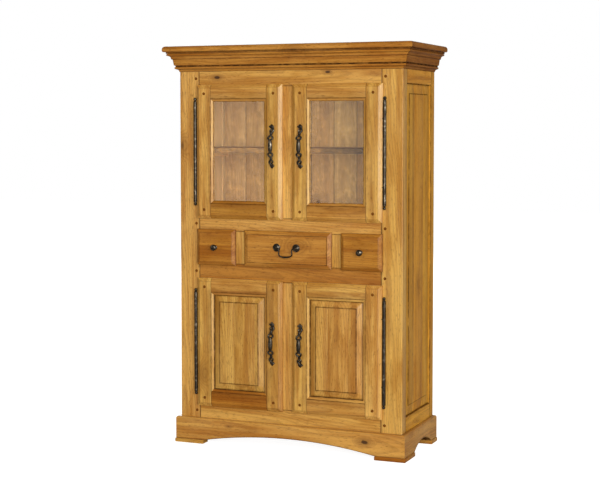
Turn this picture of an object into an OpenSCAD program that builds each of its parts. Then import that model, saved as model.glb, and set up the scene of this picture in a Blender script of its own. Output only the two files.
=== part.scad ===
/* [Case] */
// Width of the case between the outer faces of its sides
case_w = 1120; // [1000:5:1400]
// Depth of the case from the face of the front frame to the back
case_d = 474; // [380:2:600]
// Thickness of the boards that stand in the front frame
frame_t = 24; // [20:0.5:28]
// Thickness of the posts and rails that stand in the sides
side_t = 24; // [22:0.5:30]
// Width of a front post as seen from the front
stile_w = 102; // [90:1:120]
// Depth of a front post as seen from the side
post_d = 54; // [44:1:80]

/* [Heights] */
// Height of the foot pads
pad_h = 18; // [12:1:30]
// Height of the plinth board above the pads
plinth_h = 106; // [90:1:140]
// Visible height of the rail under the lower doors
bottom_rail_h = 60; // [40:1:90]
// Height of the lower doors
lower_door_h = 616; // [520:2:760]
// Visible height of the rail between the lower doors and the drawers
lower_rail_h = 63; // [50:1:90]
// Height of the drawer fronts
drawer_h = 171; // [140:1:230]
// Visible height of the rail between the drawers and the upper doors
middle_rail_h = 50; // [44:1:80]
// Height of the upper doors
upper_door_h = 633; // [540:2:780]
// Visible height of the rail between the upper doors and the cornice
top_rail_h = 63; // [40:1:90]
// Height of the cornice, with the board that caps the case
cornice_h = 120; // [100:1:160]

/* [Doors and drawers] */
// Thickness of the doors and of the drawer fronts
door_t = 22; // [20:0.5:26]
// Gap behind a closed door or drawer front
door_gap = 0.5; // [0.3:0.1:1.5]
// Width by which a door or a drawer front laps over the frame
lap = 8; // [5:0.5:12]
// Visible width of the upright between the two doors
mullion_w = 50; // [40:1:80]
// Visible width of the uprights between the drawers
divider_w = 46; // [36:1:70]
// Width of each of the two side drawer fronts
side_drawer_w = 200; // [170:1:220]
// Width of the bevel around the face of a door or drawer front
bevel_w = 16; // [10:0.5:20]
// Depth of that bevel
bevel_d = 12; // [8:0.5:13]
// Width of a door frame member, with its inner moulding
door_stile_w = 90; // [78:1:100]
// Width of the moulding around a door's opening
sticking_w = 14; // [8:0.5:18]
// Depth of that moulding
sticking_d = 7; // [5:0.5:7.5]
// Thickness of the glass in the upper doors
glass_t = 3; // [2:0.5:4]
// Width of the sloping border around a raised panel
panel_bevel = 34; // [20:1:44]
// Depth of a drawer box
drawer_d = 400; // [280:5:400]
// Thickness of the boards of a drawer box
drawer_board_t = 12; // [8:0.5:14]

/* [Mouldings] */
// Reach of the cornice beyond the case
cornice_reach = 64; // [56:1:80]
// Thickness of the plinth boards, which stand on the face of the case
plinth_t = 20; // [16:0.5:26]
// Length of a plinth foot, along the front and along the sides
foot_l = 150; // [120:1:180]
// Rise of the arch in the front of the plinth
front_arch_rise = 41; // [25:1:55]
// Rise of the arches in the sides of the plinth
side_arch_rise = 39; // [25:1:55]
// Reach of the foot pads beyond the plinth
pad_reach = 4; // [0:0.5:8]

/* [Inside] */
// Thickness of the decks that divide the case
deck_t = 20; // [16:0.5:24]
// Thickness of the two shelves
shelf_t = 24; // [16:0.5:28]
// Height of the upper shelf's underside above the floor of the upper compartment
upper_shelf_z = 303; // [200:1:400]
// Height of the lower shelf's underside above the floor of the lower compartment
lower_shelf_z = 290; // [180:1:380]
// Number of boards across the back
back_board_count = 9; // [5:1:14]
// Thickness of the back boards
back_board_t = 12; // [8:0.5:16]

/* [Iron] */
// Diameter of the hinge barrels
hinge_d = 16; // [14:0.5:16]
// Diameter of the hinge pins
hinge_pin_d = 8; // [6:0.5:9]
// Radial clearance between a turning piece and its pin
turn_clearance = 0.05; // [0.03:0.01:0.1]
// Length of the long barrel on a door
barrel_l = 359; // [260:1:400]
// Length of each short knuckle on the case
knuckle_l = 78; // [60:1:85]
// Distance from the edge of a door to its hinge axis
hinge_offset = 10; // [9.5:0.5:11]
// Length of a door handle
handle_l = 208; // [170:1:240]
// Width of a door handle
handle_w = 25; // [20:0.5:30]
// Reach of a door handle from the face of the door
handle_reach = 34; // [30:0.5:40]
// Diameter of the drawer knobs
knob_d = 30; // [24:1:38]
// Reach of the drawer knobs from the drawer front
knob_reach = 30; // [26:1:38]
// Distance between the two posts of the bail
bail_span = 98; // [84:1:110]
// Drop from the axis of the bail to the underside of its bow
bail_drop = 48; // [42:1:56]
// Diameter of the rod of the bail
bail_rod_d = 6; // [5:0.5:7]
// Diameter of the pegs in the joints
peg_d = 11; // [6:0.5:12]

/* [Hidden] */
$fn = 64;

oak = "goldenrod";
dark_oak = "peru";
pale_wood = "burlywood";
iron = "dimgray";

// Depths are measured from the face of the front frame, which lies here in the part's own frame
face_y = cornice_reach - (case_d + cornice_reach) / 2;

// Heights of the bands of the front, from the floor up
plinth_top = pad_h + plinth_h;
lower_door_z = [plinth_top + bottom_rail_h, plinth_top + bottom_rail_h + lower_door_h];
drawer_z = [lower_door_z[1] + lower_rail_h, lower_door_z[1] + lower_rail_h + drawer_h];
upper_door_z = [drawer_z[1] + middle_rail_h, drawer_z[1] + middle_rail_h + upper_door_h];
cornice_z = upper_door_z[1] + top_rail_h;
total_h = cornice_z + cornice_h;
cap_t = 0.225 * cornice_h;
case_top = total_h - cap_t;
hidden_rail = 44; // what the bottom rail has behind the plinth

// Places across the front, on the right-hand side of the middle
half_w = case_w / 2;
stile_in = half_w - stile_w;
side_in = half_w - side_t;
door_x = [mullion_w / 2, stile_in + lap];
mullion_half = mullion_w / 2 + lap;
side_drawer_x = [door_x[1] - side_drawer_w, door_x[1]];
centre_drawer_half = side_drawer_x[0] - divider_w;
divider_x = [centre_drawer_half - lap, side_drawer_x[0] + lap];
hinge_x = door_x[1] + hinge_offset;

// Depths of the doors and drawer fronts
door_back = -door_gap;
door_face = -door_gap - door_t;
door_y = [door_back, door_face];
hinge_y = -hinge_d / 2 - 1.5;

// Front rails as [bottom, top], with what the doors and drawers lap over
bottom_rail_z = [plinth_top - hidden_rail, lower_door_z[0] + lap];
lower_rail_z = [lower_door_z[1] - lap, drawer_z[0] + lap];
middle_rail_z = [drawer_z[1] - lap, upper_door_z[0] + lap];
top_rail_z = [upper_door_z[1] - lap, case_top];
front_rails = [bottom_rail_z, lower_rail_z, middle_rail_z, top_rail_z];

// Mortise and tenon joints
tenon_t = 10;
tenon_y = [(frame_t - tenon_t) / 2, (frame_t + tenon_t) / 2];
tenon_l = 30;
short_tenon_l = 22;
shoulder = 10; // from the edge of a rail to its tenon

// Sides: a frame of posts and rails around one raised panel
rear_post_d = 52;
rear_leg_t = 22;
rear_leg_w = 74;
rear_y = case_d - rear_post_d;
back_y = case_d - rear_leg_t;
side_bottom_z = [plinth_top - hidden_rail, plinth_top + 69];
side_top_z = [cornice_z - 64, case_top];
groove_d = 8;
groove_t = 8;
groove_x = [side_in + 6, side_in + 6 + groove_t];
panel_face_x = half_w - 3;
side_bevel = 46;
side_panel_y = [post_d - groove_d, rear_y + groove_d];
side_panel_z = [side_bottom_z[1] - groove_d, side_top_z[0] + groove_d];

// Door panels and glass
rail_w = door_stile_w - sticking_w / 2 + 3; // top and bottom members of a door
door_groove = [door_back - 8.5, door_back - 3];
panel_face = door_face + 2.5;
glass_y = [door_back - 9.5 - glass_t, door_back - 9.5];
rebate_w = 9;
bead_gap = 0.2;

// Compartment floors
lower_floor = bottom_rail_z[1];
drawer_floor = lower_rail_z[1];
upper_floor = middle_rail_z[1];
boards_y = back_y - back_board_t;

// Drawer boxes
slide_gap = 1.5;
float_gap = 0.5; // between a drawer and the deck that it runs on
box_z = [drawer_floor + float_gap, middle_rail_z[0] - 6];
side_box_x = [divider_x[1] + slide_gap, stile_in - slide_gap];
centre_box_x = [-divider_x[0] + slide_gap, divider_x[0] - slide_gap];
side_drawer_mid = (side_drawer_x[0] + side_drawer_x[1]) / 2;
drawer_mid_z = (drawer_z[0] + drawer_z[1]) / 2;
guide_h = 20;
kicker_gap = 4;
box_bottom_t = 6;

// Hinges and handles
upper_hinge_z = (upper_door_z[0] + upper_door_z[1]) / 2;
lower_hinge_z = (lower_door_z[0] + lower_door_z[1]) / 2;
hinge_heights = [lower_hinge_z, upper_hinge_z];
knuckle_gap = 0.4;
finial_h = 14;
shank_d = 6;
shank_l = 26;
shank_inset = 24; // from the end of a barrel to its shank
pin_seat = 50; // length of the pin inside each knuckle
handle_x = door_x[0] + 46;
upper_handle_z = upper_hinge_z + 28;
lower_handle_z = lower_hinge_z + 13;

// Fittings of the drawers
spigot_d = 6;
spigot_l = 16;
bail_axis_z = drawer_mid_z + 9;
bail_axis_y = door_face - 13;
bail_pivot_d = 5;
rosette_d = 38;
peg_proud = 1.2;
peg_l = frame_t - 4;

function arc(c, r, from, to, steps = 6) =
  [for (i = [0 : steps]) let (a = from + (to - from) * i / steps) [c[0] + r[0] * cos(a), c[1] + r[1] * sin(a)]];
function grown(span, by) = [span[0] - by, span[1] + by];
function middle(span) = (span[0] + span[1]) / 2;

// ---- helpers ----

// Puts a piece that is drawn from the face of the front frame into the part's own frame
module piece(tone) color(tone) translate([0, face_y, 0]) children();

// Box from its spans along X, Y and Z
module block(x, y, z) translate([x[0], min(y), z[0]]) cube([x[1] - x[0], abs(y[1] - y[0]), z[1] - z[0]]);

// Extrusions of an outline in (Y, Z), in (X, Z) and in (X, Y)
module along_x(x) translate([x[0], 0, 0]) rotate([90, 0, 90]) linear_extrude(x[1] - x[0]) children();
module along_y(y) translate([0, y[1], 0]) rotate([90, 0, 0]) linear_extrude(y[1] - y[0]) children();
module along_z(z) translate([0, 0, z[0]]) linear_extrude(z[1] - z[0]) children();

// Round bar along Y or X, from its centre and its span
module bar_y(x, z, d, y) translate([x, min(y), z]) rotate([-90, 0, 0]) cylinder(h = abs(y[1] - y[0]), d = d);
module bar_x(y, z, d, x) translate([x[0], y, z]) rotate([0, 90, 0]) cylinder(h = x[1] - x[0], d = d);

// Pieces drawn on the right, and their mirror image on the left
module handed(side) mirror([side < 0 ? 1 : 0, 0, 0]) children();
module both_sides() for (side = [-1, 1]) handed(side) children();

// Solid whose two outlines, across and upward, share the same steps of [reach, depth]
module mitred(x, z, steps) {
  outline = function (span) concat(
    [for (s = steps) [span[0] - s[0], s[1]]],
    [for (i = [len(steps) - 1 : -1 : 0]) [span[1] + steps[i][0], steps[i][1]]]);
  reach = max([for (s = steps) s[0]]) + 1;
  intersection() {
    along_z(grown(z, reach)) polygon(outline(x));
    along_x(grown(x, reach)) polygon([for (p = outline(z)) [p[1], p[0]]]);
  }
}

// Slab with a bevel all around its face
module bevelled_slab(x, z, y, run, fall)
  mitred(x, z, [[-run, y[1]], [0, y[1] + fall], [0, y[0]]]);

// ---- front frame ----

module rail_tenons(z)
  both_sides() block([stile_in - 1, stile_in + tenon_l], tenon_y, [z[0] + shoulder, z[1] - shoulder]);

module upright_tenons(x, z)
  block(grown(x, -shoulder), tenon_y, grown(z, short_tenon_l));

module all_uprights_tenons() {
  upright_tenons([-mullion_half, mullion_half], [lower_floor, lower_rail_z[0]]);
  upright_tenons([-mullion_half, mullion_half], [upper_floor, top_rail_z[0]]);
  both_sides() upright_tenons(divider_x, [drawer_floor, middle_rail_z[0]]);
}

module front_rail(z) difference() {
  union() {
    block([-stile_in, stile_in], [0, frame_t], z);
    rail_tenons(z);
  }
  all_uprights_tenons();
  peg_bars();
}

module upright(x, z) {
  block(x, [0, frame_t], z);
  upright_tenons(x, z);
}

module mullions() piece(oak) {
  upright([-mullion_half, mullion_half], [lower_floor, lower_rail_z[0]]);
  upright([-mullion_half, mullion_half], [upper_floor, top_rail_z[0]]);
}

module drawer_dividers() piece(oak)
  both_sides() upright(divider_x, [drawer_floor, middle_rail_z[0]]);

module front_top_rail() piece(oak) front_rail(top_rail_z);
module front_middle_rail() piece(oak) front_rail(middle_rail_z);
module front_lower_rail() piece(dark_oak) front_rail(lower_rail_z);
module front_bottom_rail() piece(oak) front_rail(bottom_rail_z);

// One peg in each joint of a rail and a post
peg_x = stile_in + 18;
peg_heights = [bottom_rail_z[1] - 34, middle(lower_rail_z), middle(middle_rail_z), top_rail_z[0] + 38];

module peg_bars(from = 0)
  both_sides() for (z = peg_heights) bar_y(peg_x, z, peg_d, [from, peg_l]);

module frame_pegs() piece(dark_oak) peg_bars(-peg_proud);

// ---- sides and posts ----

module side_rail_tenons(z) {
  block(groove_x, [post_d - short_tenon_l, post_d + 1], [z[0] + shoulder, z[1] - shoulder]);
  block(groove_x, [rear_y - 1, rear_y + short_tenon_l], [z[0] + shoulder, z[1] - shoulder]);
}

module side_groove() block(groove_x, side_panel_y, side_panel_z);

module back_rail_tenons(z) both_sides()
  block([back_rail_x - 1, back_rail_x + short_tenon_l], [back_y + 6, case_d - 6], grown(z, -shoulder));

module front_post() difference() {
  union() {
    block([stile_in, half_w], [0, frame_t], [pad_h, case_top]);
    block([side_in, half_w], [0, post_d], [pad_h, case_top]);
  }
  for (z = front_rails) rail_tenons(z);
  for (z = [side_bottom_z, side_top_z]) side_rail_tenons(z);
  side_groove();
  peg_bars();
  knuckle_shanks();
}

module rear_post() difference() {
  union() {
    block([side_in, half_w], [rear_y, case_d], [pad_h, case_top]);
    block([half_w - rear_leg_w, half_w], [back_y, case_d], [pad_h, case_top]);
  }
  for (z = [side_bottom_z, side_top_z]) side_rail_tenons(z);
  for (z = back_rail_heights) back_rail_tenons(z);
  side_groove();
}

module left_front_post() piece(oak) handed(-1) front_post();
module right_front_post() piece(oak) front_post();
module left_rear_post() piece(oak) handed(-1) rear_post();
module right_rear_post() piece(oak) rear_post();

module side_rails() piece(oak) both_sides() difference() {
  for (z = [side_bottom_z, side_top_z]) {
    block([side_in, half_w], [post_d, rear_y], z);
    side_rail_tenons(z);
  }
  side_groove();
}

// Raised panel, drawn lying in the XZ plane and turned to stand in a side
module side_panel() {
  fall = panel_face_x - groove_x[1];
  rotate([0, 0, 90]) mitred(side_panel_y, side_panel_z, [
    [-side_bevel - groove_d, -panel_face_x],
    [-side_bevel - groove_d, -panel_face_x + fall / 3],
    [-groove_d, -groove_x[1]],
    [0, -groove_x[1]],
    [0, -groove_x[0]]
  ]);
}

module left_side_panel() piece(dark_oak) handed(-1) side_panel();
module right_side_panel() piece(dark_oak) side_panel();

// ---- back ----

back_rail_x = half_w - rear_leg_w;
back_rail_h = 70;
back_rail_heights = [
  [lower_floor - 50, lower_floor - 50 + back_rail_h],
  [middle(drawer_z) - back_rail_h / 2, middle(drawer_z) + back_rail_h / 2],
  [case_top - back_rail_h, case_top]
];

module back_rails() piece(pale_wood) for (z = back_rail_heights) {
  block([-back_rail_x, back_rail_x], [back_y, case_d], z);
  back_rail_tenons(z);
}

module back_boards() piece(pale_wood) {
  pitch = 2 * side_in / back_board_count;
  joint = 0.8;
  chamfer = 2;
  for (i = [0 : back_board_count - 1]) {
    x = [-side_in + i * pitch + (i > 0 ? joint : 0), -side_in + (i + 1) * pitch];
    along_z([back_rail_heights[0][0], case_top]) polygon([
      [x[0], back_y], [x[1], back_y], [x[1], boards_y + chamfer], [x[1] - chamfer, boards_y],
      [x[0] + chamfer, boards_y], [x[0], boards_y + chamfer]]);
  }
}

// ---- inside ----

module top_board() piece(oak)
  block([-half_w + cap_in, half_w - cap_in], [cap_in, case_d], [case_top, case_top + deck_t]);

module decks() piece(pale_wood)
  for (top = [lower_floor, drawer_floor, upper_floor])
    block([-side_in, side_in], [frame_t, boards_y], [top - deck_t, top]);

shelf_front = 60;
shelf_floors = [lower_floor + lower_shelf_z, upper_floor + upper_shelf_z];
bearer_w = 20;
bearer_h = 22;

module shelves() piece(pale_wood)
  for (z = shelf_floors) block([-side_in, side_in], [shelf_front, boards_y], [z, z + shelf_t]);

module shelf_bearers() piece(pale_wood) both_sides() for (z = shelf_floors)
  block([side_in - bearer_w, side_in], [frame_t, boards_y], [z - bearer_h, z]);

// Strips that steer the drawers, and strips above them that stop them from tipping
module drawer_guides() piece(pale_wood) {
  run = [frame_t, drawer_d + 20];
  top = upper_floor - deck_t;
  both_sides() {
    block(grown(divider_x, -1), run, [drawer_floor, drawer_floor + guide_h]);
    block([stile_in + 1, stile_in + 15], run, [drawer_floor, drawer_floor + guide_h]);
    block(grown(divider_x, 14), run, [box_z[1] + kicker_gap, top]);
    block([stile_in - 15, stile_in + 15], run, [box_z[1] + kicker_gap, top]);
  }
}

// Catches beside the mullion: a block on the deck or rail and two ball holders on its front
module door_catches() piece("darkgoldenrod") {
  catch_x = [mullion_half + 6, mullion_half + 38];
  ball_d = 8;
  both_sides() for (top = [lower_rail_z[0], top_rail_z[0]]) {
    block(catch_x, [2, frame_t - 2], [top - 12, top]);
    for (x = [catch_x[0] + 8, catch_x[1] - 8]) bar_y(x, top - 6, ball_d, [0, 2]);
  }
}

// ---- cornice and plinth ----

cap_in = 16;
cap_z = case_top - cornice_z;
ks = cornice_reach / 64; // the moulding's outline is drawn for a reach of 64 and a height of 120
kz = cornice_h / 120;

// Outline of the cornice as [reach, height], from its foot up
cornice_outline = [for (p = concat(
  [[0, 0], [2, 0]],
  arc([14, 0], [12, 12], 180, 90),
  arc([14, 18.5], [6, 5.5], -90, 90),
  [[16, 24], [16, 29], [22, 31], [26, 58], [32, 60]],
  arc([42, 63], [10, 11], 180, 90),
  arc([43, 80], [6, 5], -90, 90),
  [[50, 86], [50, 93]],
  arc([58, 99], [6, 6], -90, 0),
  arc([50, 106], [14, 14], 0, 90),
  [[-cap_in / ks, 120], [-cap_in / ks, 93], [0, 93]])) [p[0] * ks, p[1] * kz]];

module cornice_front() piece(oak) {
  tip = half_w + cornice_reach;
  intersection() {
    along_x([-tip, tip]) polygon([for (p = cornice_outline) [-p[0], cornice_z + p[1]]]);
    along_z([cornice_z, total_h]) polygon([
      [-tip, -cornice_reach], [tip, -cornice_reach], [half_w - cap_in, cap_in], [cap_in - half_w, cap_in]]);
  }
}

module cornice_sides() piece(oak) both_sides() {
  tip = half_w + cornice_reach;
  intersection() {
    along_y([-cornice_reach, case_d]) polygon([for (p = cornice_outline) [half_w + p[0], cornice_z + p[1]]]);
    along_z([cornice_z, total_h]) polygon([
      [tip, -cornice_reach], [tip, case_d], [half_w - cap_in, case_d], [half_w - cap_in, cap_in]]);
  }
}

// Round edge of the plinth's top, as [reach, height]
plinth_outline = concat(
  [[0, pad_h], [plinth_t, pad_h]],
  arc([plinth_t - 9, plinth_top - 9], [9, 9], 0, 90),
  [[0, plinth_top]]);

// Round cutter for an arch of the given half span and rise, as an outline whose height is the second axis
module arch(half, rise) {
  r = (half * half + rise * rise) / (2 * rise);
  translate([0, pad_h + rise - r]) circle(r = r, $fn = 256);
}

module plinth_front() piece(oak) {
  tip = half_w + plinth_t;
  difference() {
    intersection() {
      along_x([-tip, tip]) polygon([for (p = plinth_outline) [-p[0], p[1]]]);
      along_z([pad_h, plinth_top]) polygon([[-tip, -plinth_t], [tip, -plinth_t], [half_w, 0], [-half_w, 0]]);
    }
    along_y([-plinth_t - 1, 1]) arch(half_w + plinth_t - foot_l, front_arch_rise);
  }
}

side_arch_y = [foot_l - plinth_t, case_d - 88];

module plinth_sides() piece(oak) both_sides() {
  tip = half_w + plinth_t;
  difference() {
    intersection() {
      along_y([-plinth_t, case_d]) polygon([for (p = plinth_outline) [half_w + p[0], p[1]]]);
      along_z([pad_h, plinth_top])
        polygon([[tip, -plinth_t], [tip, case_d], [half_w, case_d], [half_w, 0]]);
    }
    translate([0, middle(side_arch_y), 0]) along_x([half_w - 1, tip + 1])
      arch((side_arch_y[1] - side_arch_y[0]) / 2, side_arch_rise);
  }
}

module plinth_back() piece(pale_wood)
  block([-back_rail_x, back_rail_x], [back_y, case_d], [pad_h + front_arch_rise, back_rail_heights[0][0]]);

module foot_pads() piece(dark_oak) both_sides() {
  tip = half_w + plinth_t + pad_reach;
  front = -plinth_t - pad_reach;
  block([tip - foot_l, tip], [front, frame_t + 6], [0, pad_h]);
  block([side_in - 6, tip], [frame_t + 6, front + foot_l], [0, pad_h]);
  block([half_w - rear_leg_w, tip], [side_arch_y[1], case_d], [0, pad_h]);
}

// ---- doors, drawn on the right-hand side of the middle ----

function opening_x() = [door_x[0] + door_stile_w, door_x[1] - door_stile_w];
function opening_z(z) = [z[0] + rail_w, z[1] - rail_w + 6];

// Cutter of a door's opening, with a slightly swelling chamfer toward the face
module door_opening(z) {
  quirk = 0.5;
  swell = 0.5;
  last = 6;
  mitred(opening_x(), opening_z(z), concat(
    [[sticking_w, door_face - 1]],
    [for (i = [0 : last]) let (t = i / last)
      [sticking_w * (1 - t), door_face + quirk + (sticking_d - quirk) * t - 4 * swell * t * (1 - t)]],
    [[0, door_back + 1]]));
}

module door_peg_bars(z, proud = 0) {
  inset = 42;
  for (x = grown(door_x, -inset), height = grown(z, -inset))
    bar_y(x, height, peg_d, [door_face - proud, door_face + peg_depth]);
}
peg_depth = 12;

module door_frame(z, hinge_z) difference() {
  bevelled_slab(door_x, z, door_y, bevel_w, bevel_d);
  door_opening(z);
  door_peg_bars(z);
  barrel_shanks(hinge_z);
}

module glazed_door_frame(z) {
  rebate_x = grown(opening_x(), rebate_w);
  rebate_z = grown(opening_z(z), rebate_w);
  difference() {
    door_frame(z, upper_hinge_z);
    block(rebate_x, [glass_y[0], door_back + 1], rebate_z);
  }
  // Beads that hold the glass
  difference() {
    block(grown(rebate_x, -bead_gap), [glass_y[1], door_back - 1], grown(rebate_z, -bead_gap));
    block(grown(opening_x(), -2), [glass_y[0], door_back], grown(opening_z(z), -2));
  }
}

module panelled_door_frame(z) difference() {
  door_frame(z, lower_hinge_z);
  block(grown(opening_x(), groove_d), door_groove, grown(opening_z(z), groove_d));
}

module door_glass(z)
  block(grown(opening_x(), rebate_w - 1), glass_y, grown(opening_z(z), rebate_w - 1));

module door_panel(z) mitred(grown(opening_x(), groove_d), grown(opening_z(z), groove_d), [
  [-panel_bevel - groove_d, panel_face],
  [-panel_bevel - groove_d, panel_face + 1],
  [-groove_d, door_groove[0]],
  [0, door_groove[0]],
  [0, door_groove[1]]
]);

module upper_left_door_frame() piece(oak) handed(-1) glazed_door_frame(upper_door_z);
module upper_right_door_frame() piece(oak) glazed_door_frame(upper_door_z);
module lower_left_door_frame() piece(oak) handed(-1) panelled_door_frame(lower_door_z);
module lower_right_door_frame() piece(oak) panelled_door_frame(lower_door_z);

module upper_left_door_glass() piece("lightcyan") handed(-1) door_glass(upper_door_z);
module upper_right_door_glass() piece("lightcyan") door_glass(upper_door_z);
module lower_left_door_panel() piece(oak) handed(-1) door_panel(lower_door_z);
module lower_right_door_panel() piece(oak) door_panel(lower_door_z);

module upper_left_door_pegs() piece(dark_oak) handed(-1) door_peg_bars(upper_door_z, peg_proud);
module upper_right_door_pegs() piece(dark_oak) door_peg_bars(upper_door_z, peg_proud);
module lower_left_door_pegs() piece(dark_oak) handed(-1) door_peg_bars(lower_door_z, peg_proud);
module lower_right_door_pegs() piece(dark_oak) door_peg_bars(lower_door_z, peg_proud);

// ---- hinges ----

knuckle_z = barrel_l / 2 + knuckle_gap; // from the middle of a hinge to the near end of a knuckle

// Shanks that fix a long barrel to the edge of its door
module barrel_shanks(z) for (side = [-1, 1])
  bar_x(hinge_y, z + side * (barrel_l / 2 - shank_inset), shank_d, [door_x[1] - shank_l, hinge_x - hinge_pin_d]);

module hinge_barrel(z) difference() {
  union() {
    translate([hinge_x, hinge_y, z - barrel_l / 2]) cylinder(h = barrel_l, d = hinge_d);
    for (side = [-1, 1]) bar_x(hinge_y, z + side * (barrel_l / 2 - shank_inset), shank_d,
      [door_x[1] - shank_l, hinge_x]);
  }
  translate([hinge_x, hinge_y, z - barrel_l / 2 - 1])
    cylinder(h = barrel_l + 2, d = hinge_pin_d + 2 * turn_clearance);
}

// Shanks that fix the knuckles to the posts
module knuckle_shanks(from = 0) for (z = hinge_heights, side = [-1, 1])
  bar_y(hinge_x, z + side * (knuckle_z + knuckle_l / 2), shank_d, [from, frame_t - 5]);

// Knuckle with a turned finial, drawn upward from its near end
module knuckle() rotate_extrude() polygon(concat(
  [[hinge_pin_d / 2, 0], [hinge_d / 2, 0], [hinge_d / 2, knuckle_l - finial_h - 6],
   [hinge_d / 2 - 2, knuckle_l - finial_h - 4], [hinge_d / 2 - 2, knuckle_l - finial_h - 2]],
  arc([0, knuckle_l - finial_h / 2 - 1], [hinge_d / 2 - 0.5, finial_h / 2], -55, 90, 8),
  [[0, pin_seat], [hinge_pin_d / 2, pin_seat]]));

module hinge_knuckles() piece(iron) both_sides() for (z = hinge_heights) {
  for (side = [-1, 1]) translate([hinge_x, hinge_y, z + side * knuckle_z])
    mirror([0, 0, side < 0 ? 1 : 0]) knuckle();
  for (side = [-1, 1])
    bar_y(hinge_x, z + side * (knuckle_z + knuckle_l / 2), shank_d, [hinge_y + hinge_pin_d / 2 + 1, frame_t - 5]);
}

module hinge_pins() piece("gray") both_sides() for (z = hinge_heights)
  translate([hinge_x, hinge_y, z - knuckle_z - pin_seat]) cylinder(h = 2 * (knuckle_z + pin_seat), d = hinge_pin_d);

module upper_left_hinge_barrel() piece(iron) handed(-1) hinge_barrel(upper_hinge_z);
module upper_right_hinge_barrel() piece(iron) hinge_barrel(upper_hinge_z);
module lower_left_hinge_barrel() piece(iron) handed(-1) hinge_barrel(lower_hinge_z);
module lower_right_hinge_barrel() piece(iron) hinge_barrel(lower_hinge_z);

// ---- handles ----

// Round rod swept along a path, with a radius for each of its points; across is a direction that
// no part of the path runs along
module rod(path, radii, across = [0, 1, 0], sides = 10) {
  last = len(path) - 1;
  heading = [for (i = [0 : last]) let (d = path[min(i + 1, last)] - path[max(i - 1, 0)]) d / norm(d)];
  rim = [for (i = [0 : last]) let (
      u = cross(heading[i], across) / norm(cross(heading[i], across)),
      v = cross(u, heading[i]))
    for (k = [0 : sides - 1]) path[i] + radii[i] * (cos(360 * k / sides) * u + sin(360 * k / sides) * v)];
  walls = [for (i = [0 : last - 1], k = [0 : sides - 1]) let (n = (k + 1) % sides)
    [i * sides + k, i * sides + n, (i + 1) * sides + n, (i + 1) * sides + k]];
  polyhedron(rim, concat(walls, [[for (k = [sides - 1 : -1 : 0]) k], [for (k = [0 : sides - 1]) last * sides + k]]));
}

// Iron pull with a swelling grip and, at each end, an open loop, a scroll and a leaf screwed to the door.
// It is drawn around its middle, lying on the plane Y = 0 and reaching toward -Y.
module handle_shape() {
  grip = 28; // half of the grip's length
  top = -26; // the grip's axis
  steps = 14;
  along = [for (i = [0 : steps]) i / steps];
  rod([for (t = along) [0, top - 2 * sin(180 * t), -grip + 2 * grip * t]],
    [for (t = along) 3.4 + 3.2 * sin(180 * t)]);
  for (end = [-1, 1]) mirror([0, 0, end < 0 ? 1 : 0]) mirror([end < 0 ? 1 : 0, 0, 0]) {
    // The two strands of the loop
    for (side = [-1, 1])
      rod([for (t = along) [side * 8 * sin(180 * t) , top + 9 * t * t, grip - 1 + 24 * t]],
        [for (t = along) 2.9 - 0.4 * sin(180 * t)]);
    // The scroll, an S that ends in a round lobe beside the leaf
    scroll = smooth([[0, -17, 50], [-1, -14, 57], [4, -11.5, 65], [7.2, -9, 74], [3.4, -7, 83], [-3, -5.4, 89],
      [-7, -4.6, 91]], 3);
    rod(scroll, [for (p = scroll) 2.6 + 0.9 * (p[2] - 50) / 41]);
    // The leaf
    translate([0, -3.4, 92]) scale([5, 3.4, 12]) sphere(r = 1, $fn = 16);
    // The foot
    translate([0, 0, 90]) rotate([90, 0, 0]) cylinder(h = 4, r = 4, $fn = 16);
  }
}

// The pull has the same turn on every door, so it isn't mirrored
module handle(side, z) translate([side * handle_x, door_face, z - handle_l / 2])
  resize([handle_w, handle_reach, handle_l]) translate([0, 0, 104]) handle_shape();

module upper_left_handle() piece(iron) handle(-1, upper_handle_z);
module upper_right_handle() piece(iron) handle(1, upper_handle_z);
module lower_left_handle() piece(iron) handle(-1, lower_handle_z);
module lower_right_handle() piece(iron) handle(1, lower_handle_z);

// ---- drawers ----

module spigot(x, z, from = 0) bar_y(x, z, spigot_d, [door_face - from, door_face + spigot_l]);

module side_drawer_front() difference() {
  bevelled_slab(side_drawer_x, drawer_z, door_y, bevel_w, bevel_d);
  spigot(side_drawer_mid, drawer_mid_z, 1);
}

// The middle front has a small step between its face and its bevel
module centre_drawer_front() piece(oak) {
  step = 2;
  x = [-centre_drawer_half, centre_drawer_half];
  difference() {
    union() {
      bevelled_slab(x, drawer_z, [door_back, door_face + step], bevel_w, bevel_d - step);
      block(grown(x, -bevel_w - 4), [door_face, door_face + step + 1], grown(drawer_z, -bevel_w - 4));
    }
    for (side = [-1, 1]) spigot(side * bail_span / 2, bail_axis_z, 1);
  }
}

// Box without a lid: two sides, an inner front, a back and a bottom, glued up
module drawer_box(x) difference() {
  t = drawer_board_t;
  block(x, [door_back, door_back + drawer_d], box_z);
  block(grown(x, -t), [door_back + t, door_back + drawer_d - t], [box_z[0] + box_bottom_t, box_z[1] + 1]);
}

// Turned knob around its axis, from the drawer front outward
module knob() rotate_extrude() polygon(concat(
  [[0, -spigot_l], [spigot_d / 2, -spigot_l], [spigot_d / 2, 0], [0.32 * knob_d, 0], [0.32 * knob_d, 2]],
  arc([0.32 * knob_d, 0.3 * knob_reach], [0.14 * knob_d, 0.23 * knob_reach], -90, -250, 6),
  arc([0, 0.74 * knob_reach], [0.5 * knob_d, 0.26 * knob_reach], -35, 90, 10)));

module side_knob() translate([side_drawer_mid, door_face, drawer_mid_z]) rotate([90, 0, 0]) knob();

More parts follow.
